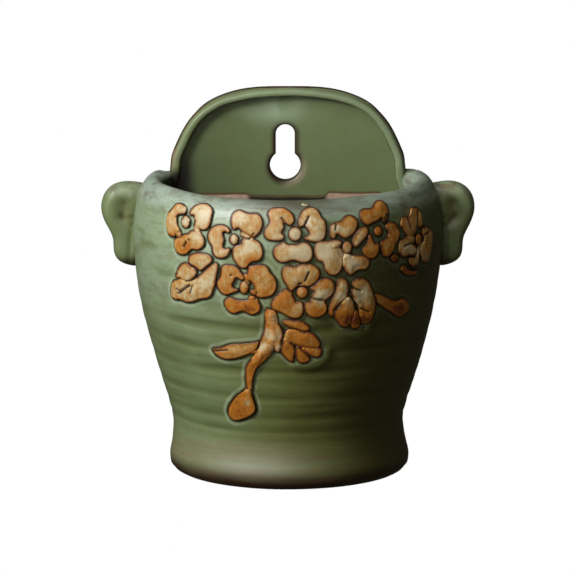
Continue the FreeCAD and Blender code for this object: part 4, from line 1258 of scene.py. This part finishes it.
@dataclass
class BackSlab:
    """The flat back with its keyhole, its shoulders pressed down to the rim's ends, and the floor."""

    sharp: float = math.radians(38)
    level: float = math.radians(0.3)
    shoulder_aside: float = 0.0536
    shoulder_up: Span = (-0.012, 0.0015)
    left_press: float = 0.0020
    right_press: float = 0.0010
    face_weight: int = 100

    def build(self, nodes: dict[str, bpy.types.Object], name: str, material: bpy.types.Material,
              slot: str) -> bpy.types.Object:
        """Takes a slab over from the frame with smooth shading.

        Args:
            nodes: The frame's nodes.
            name: The node.
            material: Its finish.
            slot: The record's material slot; not used.

        Returns:
            The piece.
        """
        mesh = node_mesh(nodes[name])
        bmesh.ops.dissolve_limit(mesh, angle_limit=self.level, verts=mesh.verts, edges=mesh.edges)
        bmesh.ops.triangulate(mesh, faces=mesh.faces)
        for vert in mesh.verts:
            aside = vert.co.x - LAYOUT.middle
            if abs(aside) > self.shoulder_aside and self.shoulder_up[0] < vert.co.z < self.shoulder_up[1]:
                vert.co.z -= self.left_press if aside < 0 else self.right_press
        piece = finished(f"{name}_finished", mesh, material, [name])
        piece.data.set_sharp_from_angle(angle=self.sharp)
        weighted = piece.modifiers.new("level_faces", "WEIGHTED_NORMAL")
        weighted.mode = "FACE_AREA"
        weighted.weight = self.face_weight
        weighted.keep_sharp = True
        return piece


@dataclass
class ArchLip:
    """The strip of clay laid round the arch, rounded with a wet finger.

    The outline runs from the left foot to the top, across from the middle and up from the vase's foot.
    The section runs inwards from the outline and back to front. All are in millimetres.
    """

    outline: tuple[Spot, ...] = (
        (57.2, 124.5), (55.6, 129.0), (54.4, 133.5), (53.9, 138.0), (53.3, 142.5), (51.6, 147.0),
        (49.9, 150.8), (48.0, 154.6), (45.6, 158.4), (42.6, 162.0), (38.4, 165.6), (32.0, 169.3),
        (24.0, 171.8), (13.0, 173.6), (0.0, 174.3),
    )
    section: tuple[Spot, ...] = (
        (0.9, -0.5), (0.2, -1.2), (-0.15, -2.4), (-0.2, -4.0), (-0.1, -5.5), (0.1, -6.7), (0.35, -7.8),
        (0.6, -8.5), (0.95, -9.1), (1.5, -9.5), (2.3, -9.65), (3.2, -9.6), (3.9, -9.25), (4.25, -8.6),
        (4.35, -7.7), (4.35, -6.7), (4.4, -5.9), (4.8, -5.2), (4.6, -4.6), (2.8, -3.4),
    )
    steps: int = 9
    narrow: float = 0.82
    narrow_top: Span = (0.35, 1.0)
    foot_up: Span = (126.0, 139.0)
    foot_back: float = 0.25
    foot_depth: Span = (5.0, 9.6)
    uneven_depth: Span = (4.5, 7.5)
    crown: Spot = (3.0, -4.0)
    sway_rate: float = 0.03
    sway_in: float = 0.2
    sway_back: float = 0.3
    ripple_rate: Spot = (0.16, 0.2)
    ripple_in: float = 0.16
    rounding: float = 0.8
    bend: float = 0.00005

    def path(self) -> list[tuple[Vector, Vector, float]]:
        """Stations along the arch from its left foot to its right foot.

        Returns:
            For each station its place, the direction inwards, and how near it is to the top.
        """
        half = [Vector((across, 0, up)) for across, up in self.outline]
        corners = [Vector((-point.x, 0, point.z)) for point in half] + half[-2::-1]
        places = []
        for number in range(len(corners) - 1):
            before, start = corners[max(number - 1, 0)], corners[number]
            end, after = corners[number + 1], corners[min(number + 2, len(corners) - 1)]
            for step in range(self.steps):
                share = step / self.steps
                places.append(0.5 * (2 * start + (end - before) * share
                                     + (2 * before - 5 * start + 4 * end - after) * share ** 2
                                     + (3 * start - before - 3 * end + after) * share ** 3))
        places.append(corners[-1])
        stations = []
        for number, place in enumerate(places):
            along = places[min(number + 1, len(places) - 1)] - places[max(number - 1, 0)]
            inward = Vector((along.z, 0, -along.x)).normalized()
            stations.append((place, inward, max(0.0, -inward.z)))
        return stations

    def build(self, finish: CeladonGlaze) -> bpy.types.Object:
        """Forms the lip.

        Args:
            finish: The glaze.

        Returns:
            The piece.
        """
        mesh = bmesh.new()
        layer = mesh.verts.layers.float.new("rim")
        deepest = min(depth for _, depth in self.section)
        loops = []
        for place, inward, top in self.path():
            thin = 1 - (1 - self.narrow) * ease(top, *self.narrow_top)
            foot = 1 - ease(place.z, *self.foot_up)
            loop = []
            for inside, depth in self.section:
                along, back = self.ripple_rate
                sway = noise.noise(Vector((place.x * self.sway_rate, 2.0, place.z * self.sway_rate)))
                ripple = noise.noise(Vector((place.x * along, depth * back, place.z * along)))
                reach = 1 - self.foot_back * foot * ease(-depth, *self.foot_depth)
                uneven = self.ripple_in * ripple + self.sway_in * sway
                spot = place + inward * (inside * thin + uneven * ease(-depth, *self.uneven_depth))
                vert = mesh.verts.new((LAYOUT.middle + spot.x * MM,
                                       (depth * reach + self.sway_back * sway) * MM,
                                       LAYOUT.foot + spot.z * MM))
                outer = inside < self.crown[0] or depth > self.crown[1]
                vert[layer] = depth if outer else 2 * deepest - depth
                loop.append(vert)
            loops.append([mesh.edges.new(pair) for pair in zip(loop, loop[1:] + loop[:1])])
        for first, second in zip(loops, loops[1:]):
            bmesh.ops.bridge_loops(mesh, edges=first + second)
        close_holes(mesh)
        bmesh.ops.recalc_face_normals(mesh, faces=mesh.faces)
        bmesh.ops.subdivide_edges(mesh, edges=mesh.edges, cuts=1, smooth=self.rounding, use_grid_fill=True)
        paint_bend(mesh, self.bend)
        return finished("arch_lip_glazed", mesh, finish.material(), ["arch_lip"])


@dataclass
class Ear:
    """A curled ear: a roll of clay folded on itself and pressed against the rim.

    Strokes are drawn for the left ear: start, end, depth in millimetres and width on the drawing.
    """

    side: int
    voxel: float = 0.0006
    rounds: int = 38
    sink: float = 0.0014
    seat: float = 0.0004
    swell: float = 0.0006
    pocket: Spot = (0.0760, -0.0170)
    plug: tuple[float, float, float] = (0.0100, 0.0070, 0.0215)
    cover: float = 0.0001
    facing: Span = (0.15, 0.7)
    lumps: float = 0.22
    lump_rate: float = 110.0
    bend: float = 0.00004
    droop: float = 1.3
    droop_up: Span = (-0.030, -0.006)
    strokes: tuple[tuple[Spot, Spot, float, float], ...] = (
        ((124, 203), (122, 216), 1.0, 6.0),
        ((122, 216), (127, 224), 0.5, 4.6),
        ((132, 217), (134.5, 222), 0.8, 2.0),
        ((126.5, 214), (131.5, 223), -0.35, 2.2),
        ((133, 197), (131, 211), -0.3, 4.6),
        ((132, 226), (129, 262), 0.7, 2.8),
        ((138, 189), (136, 196), 0.5, 2.8),
    )

    def build(self, nodes: dict[str, bpy.types.Object], finish: CeladonGlaze) -> bpy.types.Object:
        """Forms the ear.

        Args:
            nodes: The frame's nodes.
            finish: The glaze.

        Returns:
            The piece.
        """
        name = "left_ear" if self.side < 0 else "right_ear"
        mesh = node_mesh(nodes[name])
        front = min(vert.co.y for vert in mesh.verts)
        for vert in mesh.verts:
            if abs(LAYOUT.lift(vert.co)) < self.seat:
                vert.co -= LAYOUT.outward(vert.co) * self.sink
        offset, down = self.pocket
        centre = (LAYOUT.middle + self.side * offset, front + self.plug[1] / 2 + self.cover,
                  LAYOUT.foot + LAYOUT.pot_height + down)
        bmesh.ops.create_cube(mesh, size=1.0,
                              matrix=Matrix.Translation(centre) @ Matrix.Diagonal((*self.plug, 1.0)))
        mesh = voxelled(mesh, self.voxel, self.rounds)
        mesh.normal_update()
        for vert in mesh.verts:
            vert.co += vert.normal * self.swell
        for vert in mesh.verts:
            self.press(vert)
        rub(mesh, 1)
        paint_bend(mesh, self.bend)
        return finished(f"{name}_glazed", mesh, finish.material(), [name])

    def press(self, vert: bmesh.types.BMVert) -> None:
        """Presses the strokes, the hand's lumps and the droop into one point.

        Args:
            vert: The point.
        """
        across, down = LAYOUT.drawn(vert.co)
        if self.side > 0:
            across = 2 * LAYOUT.drawn_middle - across
        facing = ease(-vert.normal.y, *self.facing)
        for start, end, depth, width in self.strokes:
            away = from_segment((across, down), start, end)
            if away < 3 * width:
                vert.co.y += MM * depth * bump_of(away, width) * facing
        vert.co += vert.normal * MM * self.lumps * noise.noise(vert.co * self.lump_rate)
        vert.co.z -= MM * self.droop * ease(vert.co.z, *self.droop_up)


# Applied relief


@dataclass(frozen=True)
class Crease:
    """A line pressed into the relief with a tool, placed on the front drawing."""

    start: Spot
    end: Spot
    depth: float = 0.7
    width: float = 1.1


@dataclass(frozen=True)
class Wash:
    """A patch of stronger or weaker slip, placed on the front drawing."""

    middle: Spot
    reach: float
    tone: float

    def at(self, spot: Spot) -> float:
        """The tone it adds at a spot of the drawing."""
        away = math.dist(spot, self.middle)
        return self.tone * bump_of(away, self.reach) if away < 2.5 * self.reach else 0.0


class Slip(Enum):
    """The slips on the relief, by the record's material slots."""

    PETAL = "petal_glaze"
    EYE = "eye_glaze"
    STEM = "stem_glaze"


CREASES = (
    Crease((190, 240.8), (190.6, 241), 0.9, 1.0), Crease((187.5, 243), (185, 247.5), 0.9, 1.1),
    Crease((242.5, 239.5), (249.5, 240.5), 0.7, 1.0), Crease((249.5, 240.5), (254, 235), 0.5, 1.0),
    Crease((308, 219), (304.5, 227), 0.8, 1.2), Crease((281.5, 220), (284, 224)),
    Crease((335, 227), (334, 231), 0.6, 1.0), Crease((406, 220), (409, 229), 0.6, 0.9),
    Crease((416, 213), (416, 226), 0.7, 0.9), Crease((402.5, 247), (410, 244), 0.7, 1.0),
    Crease((422, 236), (427, 233), 0.6, 0.9), Crease((180, 293), (190, 285.5), 1.0, 1.3),
    Crease((193, 286), (191.5, 293), 0.5, 0.9), Crease((181, 291), (178.5, 289), 0.6, 0.9),
    Crease((231.5, 275.5), (231.7, 275.7), 0.7, 0.9), Crease((308, 273), (304.5, 281), 0.6, 1.2),
    Crease((298, 284), (301, 284), 0.9, 0.9), Crease((310, 298), (322, 300), 0.35, 1.4),
    Crease((338, 304), (335, 307.5), 0.6, 1.1), Crease((351, 288), (359, 290.5), 0.8, 0.9),
    Crease((360, 308), (367, 311.5), 0.8, 1.0), Crease((215, 350), (228, 349), 0.4, 0.9),
    Crease((385, 216), (383, 222), 0.5, 1.0), Crease((257, 292), (255, 299), 0.4, 1.0),
)

WASHES = (
    Wash((170, 238), 9, 0.5), Wash((186, 249), 10, 0.75), Wash((204, 238), 8, -0.4),
    Wash((203, 214), 14, -0.35), Wash((217, 232), 8, 0.25), Wash((252, 262), 9, 0.75),
    Wash((250, 248), 8, -0.5), Wash((242, 218), 7, -0.3), Wash((256, 228), 8, 0.15),
    Wash((287, 214), 10, 0.35), Wash((281, 239), 8, -0.35), Wash((300, 255), 14, -0.4),
    Wash((310, 228), 12, -0.15), Wash((182, 268), 9, 0.15), Wash((206, 285), 14, -0.3),
    Wash((185, 300), 10, 0.1), Wash((208, 298), 8, 0.45), Wash((228, 288), 12, 0.15),
    Wash((246, 310), 16, 0.45), Wash((263, 292), 9, 0.3), Wash((346, 222), 10, 0.4),
    Wash((335, 229), 8, -0.25), Wash((320, 250), 14, -0.45), Wash((332, 272), 8, 0.1),
    Wash((350, 262), 8, -0.5), Wash((363, 260), 8, 0.35), Wash((296, 276), 12, -0.2),
    Wash((323, 282), 9, 0.35), Wash((318, 296), 9, -0.85), Wash((312, 312), 8, 0.5),
    Wash((282, 300), 9, 0.4), Wash((301, 308), 7, -0.35), Wash((338, 294), 9, -0.7),
    Wash((341, 320), 10, 0.9), Wash((359, 295), 10, -0.6), Wash((364, 316), 9, 0.7),
    Wash((353, 320), 8, 0.9), Wash((397, 309), 10, 0.8), Wash((408, 250), 8, -0.7),
    Wash((330, 313), 8, 0.3), Wash((418, 258), 6, -0.4), Wash((281, 336), 6, -0.9),
    Wash((272, 336), 5, -0.5), Wash((275, 318), 6, -0.4), Wash((236, 347), 8, -0.35),
    Wash((252, 366), 7, 0.25), Wash((239, 409), 8, 0.35), Wash((247, 402), 5, -0.4),
    Wash((294, 345), 8, 0.35), Wash((302, 336), 7, -0.15), Wash((246, 309), 12, 0.3),
    Wash((262, 288), 8, -0.3), Wash((266, 332), 4.5, -1.1), Wash((263, 345), 4.5, -1.0),
    Wash((277, 347), 4, -0.8),
)


@dataclass(frozen=True)
class Join:
    """A roll of clay that carries one piece on to the next, placed on the front drawing."""

    start: Spot
    end: Spot
    radius: float
    rise: float = 0.2


JOINS = {
    "hanging_bud": (Join((250.3, 381), (249, 390), 1.45, -0.2), Join((249, 389), (246, 398), 2.6, -1.0),
                    Join((246, 396), (244.5, 405), 4.2, -2.3)),
    "stem": (Join((271, 314), (275, 336), 3.0, -1.1), Join((275, 334), (266, 348), 3.6, -1.7),
             Join((266, 344), (258, 358), 3.0, -1.2), Join((256, 349), (244, 349), 1.2)),
    "stem_blade": (Join((274, 325), (278, 345), 1.6),),
    "lower_bloom": (Join((288, 334), (310, 344), 3.4, -2.2),),
    "side_bloom": (Join((345, 300), (352, 318), 3.2, -2.1), Join((358, 300), (362, 318), 3.0, -1.9),
                   Join((352, 312), (354, 322), 2.4, -1.4)),
    "blossom_1": (Join((177, 228), (181, 235), 1.8, -0.6), Join((198, 229), (200, 234), 1.6, -0.5)),
    "blossom_2": (Join((222, 251), (226, 254), 1.4, -0.4), Join((244, 236), (250, 240), 2.0, -0.9)),
    "blossom_4": (Join((333, 247), (342, 262), 2.4, -1.3), Join((344, 256), (352, 262), 2.0, -0.9)),
    "blossom_7": (Join((252, 298), (256, 300), 1.6, -0.5), Join((246, 276), (248, 283), 1.4, -0.4)),
    "leaf": (Join((192, 272), (182, 284), 2.2, -1.2), Join((182, 286), (196, 282), 2.2, -1.2)),
    "blossom_6": (Join((404, 232), (410, 240), 2.2, -1.2), Join((416, 240), (418, 250), 1.8, -0.8)),
}


@dataclass
class Relief:
    """The blossoms, leaves and stems, rolled, cut and pressed on to the wall.

    Every piece has the tone of its slip, from cream at zero to orange at one. Lengths are in metres,
    the swelling, lumps and their edges in millimetres.
    """

    voxel: float = 0.00036
    rounds: int = 4
    round_rounds: int = 16
    spread: float = 0.00040
    fuller: dict[str, float] = field(default_factory=lambda: {
        "lower_bloom": 0.00085, "side_bloom": 0.00062, "blossom_4": 0.0006, "blossom_6": 0.0005,
        "leaf": 0.0005, "blossom_8": 0.0006, "blossom_5": 0.0005, "hanging_bud": -0.0003,
        "stem_leaf": 0.0002,
    })
    sink: float = 0.0015
    seat: float = 0.0006
    keep: float = -0.0007
    lower: float = 0.0005
    reach: float = 0.02
    far: float = 3.0
    beads: int = 7
    facing: Span = (0.1, 0.7)
    swell: float = 0.22
    swell_edge: Span = (0.3, 3.2)
    lumps: float = 0.3
    lump_rate: float = 190.0
    lump_shift: tuple[float, float, float] = (7, 1, 3)
    flat_edge: Span = (0.2, 1.2)
    crease_edge: Span = (0.2, 0.8)
    upright: float = 0.6
    bend: float = 0.00004
    tones: dict[str, float] = field(default_factory=lambda: {
        "blossom_1": 0.3, "blossom_2": 0.35, "blossom_3": 0.35, "blossom_4": 0.3, "blossom_5": 0.8,
        "blossom_6": 0.6, "blossom_7": 0.62, "blossom_8": 0.6, "leaf": 0.3, "side_bloom": 0.55,
        "side_twig": 0.8, "sepal": 1.5, "stem": 0.85, "stem_leaf": 0.8, "stem_blade": 0.75,
        "hanging_bud": 0.9, "lower_bloom": 0.9, "berry": 1.9, "rim_bead": -1.5, "blossom_1_eye": -0.2,
        "blossom_2_eye": 0.1, "blossom_3_eye": 0.1, "blossom_4_eye": 0.4, "blossom_5_eye": 1.0,
        "blossom_6_eye": 0.95, "blossom_7_eye": 0.5, "blossom_8_eye": 0.8,
    })
    cups: tuple[str, ...] = ("side_bloom_cup", "lower_bloom_cup")

    def build(self, nodes: dict[str, bpy.types.Object],
              cup_glaze: CeladonGlaze) -> Iterable[bpy.types.Object]:
        """Forms every applied piece.

        Args:
            nodes: The frame's nodes.
            cup_glaze: The green glaze, for the low cups under two blooms.

        Yields:
            Each piece.
        """
        slips = {
            Slip.PETAL: ReliefGlaze("petal_slip").material(),
            Slip.EYE: ReliefGlaze("eye_slip", cream=(200, 188, 150), tan=(190, 156, 100)).material(),
            Slip.STEM: ReliefGlaze("stem_slip", tan=(206, 160, 104), lift=1.0).material(),
        }
        cup = cup_glaze.material()
        for name in self.tones:
            pellet = name.endswith("_eye") or name in ("berry", "rim_bead")
            slip = Slip.EYE if pellet else Slip.STEM if name == "stem" else Slip.PETAL
            mesh = self.form(nodes[name], name, self.round_rounds if pellet else self.rounds)
            yield finished(f"{name}_clay", mesh, slips[slip], [name])
        for name in self.cups:
            yield self.cup(nodes[name], name, cup)

    def sunk(self, node: bpy.types.Object) -> bmesh.types.BMesh:
        """Copies a node so that its underside reaches into the wall.

        Args:
            node: The frame's node.

        Returns:
            The copy.
        """
        mesh = node_mesh(node)
        for vert in mesh.verts:
            if LAYOUT.lift(vert.co) < self.seat:
                vert.co -= LAYOUT.outward(vert.co) * self.sink
        return mesh

    def join_up(self, mesh: bmesh.types.BMesh, joins: Iterable[Join]) -> None:
        """Lays the rolls of clay that carry one petal on to the next, as rows of beads.

        Args:
            mesh: The piece.
            joins: Its rolls.
        """
        for join in joins:
            for bead in range(self.beads):
                share = bead / (self.beads - 1)
                place = LAYOUT.on_wall((join.start[0] + (join.end[0] - join.start[0]) * share,
                                        join.start[1] + (join.end[1] - join.start[1]) * share))
                place += LAYOUT.outward(place) * join.rise * MM
                bmesh.ops.create_icosphere(mesh, subdivisions=2, radius=join.radius * MM,
                                           matrix=Matrix.Translation(place))

    def form(self, node: bpy.types.Object, name: str, rounds: int) -> bmesh.types.BMesh:
        """Forms one blossom, leaf, stem or pellet, and stores what its slip reads.

        Args:
            node: The frame's node.
            name: Its name.
            rounds: How often its edges are rubbed.

        Returns:
            The piece's mesh.
        """
        sides = self.sides(node)
        spread = self.fuller.get(name, self.spread)
        joins = JOINS.get(name, ())
        lump = self.sunk(node)
        self.join_up(lump, joins)
        mesh = voxelled(lump, self.voxel, rounds)
        mesh.normal_update()
        layers = {key: mesh.verts.layers.float.new(key) for key in ("tone", "edge", "rise", "crease")}
        for vert in mesh.verts:
            spot = LAYOUT.drawn(vert.co)
            outward = LAYOUT.outward(vert.co)
            facing = ease(vert.normal.dot(outward), *self.facing)
            edge = self.from_edge(sides, vert.co, spot, joins)
            cut = self.crease(vert, spot, outward, facing)
            sideways = vert.normal - outward * vert.normal.dot(outward)
            swell = (self.swell * ease(edge, *self.swell_edge)
                     + self.lumps * noise.noise(vert.co * self.lump_rate + Vector(self.lump_shift)))
            vert.co += outward * MM * swell * facing * ease(edge, *self.flat_edge)
            vert.co += sideways * spread
            vert[layers["tone"]] = self.tones[name] + sum(wash.at(spot) for wash in WASHES)
            vert[layers["edge"]] = edge
            vert[layers["rise"]] = LAYOUT.lift(vert.co) / MM
            vert[layers["crease"]] = cut * ease(edge, *self.crease_edge)
        self.trim(mesh)
        return mesh

    def from_edge(self, sides: BVHTree, place: Vector, spot: Spot, joins: Iterable[Join]) -> float:
        """How far a place on a piece is from the piece's edge.

        Args:
            sides: The upright sides of the piece.
            place: The place.
            spot: The place on the front drawing.
            joins: The rolls that carry the piece on, which have no edge where they meet it.

        Returns:
            The distance in millimetres.
        """
        found = sides.find_nearest(place, self.reach)
        edge = found[3] / MM if found[0] is not None else self.far
        for join in joins:
            edge = max(edge, join.radius - from_segment(spot, join.start, join.end) * LAYOUT.pixel / MM)
        return edge

    def crease(self, vert: bmesh.types.BMVert, spot: Spot, outward: Vector, facing: float) -> float:
        """Presses the tool's lines into one point of a piece.

        Args:
            vert: The point.
            spot: The point on the front drawing.
            outward: The direction out of the wall.
            facing: One where the surface faces outwards.

        Returns:
            One in the middle of a line and zero away from it.
        """
        cut = 0.0
        for crease in CREASES:
            away = from_segment(spot, crease.start, crease.end)
            if away < 3 * crease.width:
                share = bump_of(away, crease.width)
                cut = max(cut, share)
                vert.co -= outward * MM * crease.depth * share * facing
        return cut

    def cup(self, node: bpy.types.Object, name: str, material: bpy.types.Material) -> bpy.types.Object:
        """Forms the low swelling under a bloom, which the green glaze covers.

        Args:
            node: The frame's node.
            name: Its name.
            material: Its finish.

        Returns:
            The piece.
        """
        mesh = voxelled(self.sunk(node), self.voxel, self.round_rounds)
        for vert in mesh.verts:
            vert.co -= LAYOUT.outward(vert.co) * self.lower
        self.trim(mesh)
        paint_bend(mesh, self.bend)
        return finished(f"{name}_clay", mesh, material, [name])

    def trim(self, mesh: bmesh.types.BMesh) -> None:
        """Cuts away what lies deep in the wall, and closes the cut.

        Args:
            mesh: The piece.
        """
        deep = [vert for vert in mesh.verts if LAYOUT.lift(vert.co) < self.keep]
        bmesh.ops.delete(mesh, geom=deep, context="VERTS")
        close_holes(mesh)

    def sides(self, node: bpy.types.Object) -> BVHTree:
        """Takes the upright sides of a node's pieces, to measure from.

        Args:
            node: The frame's node.

        Returns:
            The sides.
        """
        mesh = node_mesh(node)
        mesh.normal_update()
        faces = [face for face in mesh.faces
                 if abs(face.normal.dot(LAYOUT.outward(face.calc_center_median()))) > self.upright]
        bmesh.ops.delete(mesh, geom=faces, context="FACES")
        tree = BVHTree.FromBMesh(mesh)
        mesh.free()
        return tree


# Studio


@dataclass(frozen=True)
class Lamp:
    """A soft square lamp that faces the vase: its place and side in metres, its power in watts."""

    name: str
    place: tuple[float, float, float]
    size: float
    power: float
    colour: tuple[float, float, float]
    mirrored: bool = True

    def light(self, toward: Vector) -> None:
        """Hangs the lamp.

        Args:
            toward: The place it faces.
        """
        data = bpy.data.lights.new(self.name, "AREA")
        data.size = self.size
        data.energy = self.power
        data.color = self.colour
        lamp = bpy.data.objects.new(self.name, data)
        lamp.location = self.place
        lamp.rotation_euler = (toward - Vector(self.place)).to_track_quat("-Z", "Y").to_euler()
        lamp.visible_glossy = self.mirrored
        bpy.context.scene.collection.objects.link(lamp)


@dataclass
class Studio:
    """A pale floor, soft light from the upper left and a long lens a little above the vase."""

    azimuth: float = math.radians(-0.2)
    elevation: float = math.radians(11.5)
    distance: float = 3.2
    aim_height: float = 0.0836
    sensor: float = 36.0
    clip: float = 20.0
    floor_gap: float = 0.0004
    floor_size: float = 14.0
    lit_place: tuple[float, float, float] = (0, -0.04, -0.05)
    sky: tuple[float, float, float, float] = (1.0, 0.9, 0.6, 1.0)
    sky_strength: float = 0.045
    lamps: tuple[Lamp, ...] = (
        Lamp("key", (-1.30, -1.05, 0.85), 0.5, 31.0, (0.98, 1.0, 1.0)),
        Lamp("top", (-0.45, -0.8, 1.35), 0.7, 8.0, (0.97, 1.0, 1.0)),
        Lamp("rear", (0.1, 1.8, 0.12), 0.4, 9.0, (1.0, 1.0, 1.0), False),
        Lamp("front", (-0.3, -1.9, 0.5), 0.8, 5.4, (1.0, 0.97, 0.88)),
    )

    def build(self) -> None:
        """Sets up the camera, the lights and the floor."""
        self.camera()
        self.floor()
        for lamp in self.lamps:
            lamp.light(Vector(self.lit_place))
        world = bpy.data.worlds.new("studio")
        world.use_nodes = True
        world.node_tree.nodes["Background"].inputs[0].default_value = self.sky
        world.node_tree.nodes["Background"].inputs[1].default_value = self.sky_strength
        bpy.context.scene.world = world
        bpy.context.scene.view_settings.view_transform = "Standard"

    def camera(self) -> None:
        """Places the camera so that the vase fills the picture as the drawing does."""
        aim = Vector((LAYOUT.middle, -LAYOUT.setback, LAYOUT.foot + self.aim_height))
        ahead = Vector((-math.sin(self.azimuth) * math.cos(self.elevation),
                        math.cos(self.azimuth) * math.cos(self.elevation), -math.sin(self.elevation)))
        data = bpy.data.cameras.new("camera")
        data.sensor_width = self.sensor
        data.lens = self.sensor * self.distance / (PAPER_WIDTH * LAYOUT.pixel)
        data.clip_end = self.clip
        camera = bpy.data.objects.new("camera", data)
        camera.location = aim - ahead * self.distance
        camera.rotation_euler = ahead.to_track_quat("-Z", "Y").to_euler()
        bpy.context.scene.collection.objects.link(camera)
        bpy.context.scene.camera = camera

    def floor(self) -> None:
        """Lays a wide pale floor."""
        mesh = bmesh.new()
        bmesh.ops.create_grid(mesh, x_segments=4, y_segments=4, size=self.floor_size,
                              matrix=Matrix.Translation((0, 0, LAYOUT.foot - self.floor_gap)))
        data = bpy.data.meshes.new("floor")
        mesh.to_mesh(data)
        mesh.free()
        shader = Shader("pale_floor")
        glow = shader.node("ShaderNodeEmission", {}, {"Color": (1, 1, 1, 1), "Strength": 1.0})
        data.materials.append(shader.output(glow))
        floor = bpy.data.objects.new("floor", data)
        floor.visible_diffuse = False
        floor.visible_glossy = False
        bpy.context.scene.collection.objects.link(floor)


def joined(nodes: dict[str, bpy.types.Object], names: Iterable[str]) -> BVHTree:
    """Takes several of the frame's nodes as one shape to measure from.

    Args:
        nodes: The frame's nodes.
        names: The names of those taken.

    Returns:
        The shape.
    """
    mesh = bmesh.new()
    for name in names:
        mesh.from_mesh(nodes[name].data)
    tree = BVHTree.FromBMesh(mesh)
    mesh.free()
    return tree


def main(frame: dict[str, object]) -> None:
    """Builds the vase and the studio.

    Args:
        frame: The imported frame.
    """
    logging.basicConfig(level=logging.INFO, format="%(message)s")
    nodes = frame["nodes"]
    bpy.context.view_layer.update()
    Studio().build()
    relief = Relief()
    pressed = [name for name in nodes if name in relief.tones]
    ThrownWall().build(joined(nodes, pressed), joined(nodes, relief.cups), WallGlaze())
    BackSlab().build(nodes, "back_slab", SlabGlaze().material(), "celadon_glaze")
    BackSlab().build(nodes, "floor_slab", BareClay().material(), "bare_clay")
    ArchLip().build(LipGlaze())
    for side in (-1, 1):
        Ear(side).build(nodes, EarGlaze())
    pieces = list(relief.build(nodes, CupGlaze()))
    LOG.info("%d applied pieces", len(pieces))


if __name__ == "__main__":
    main(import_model())
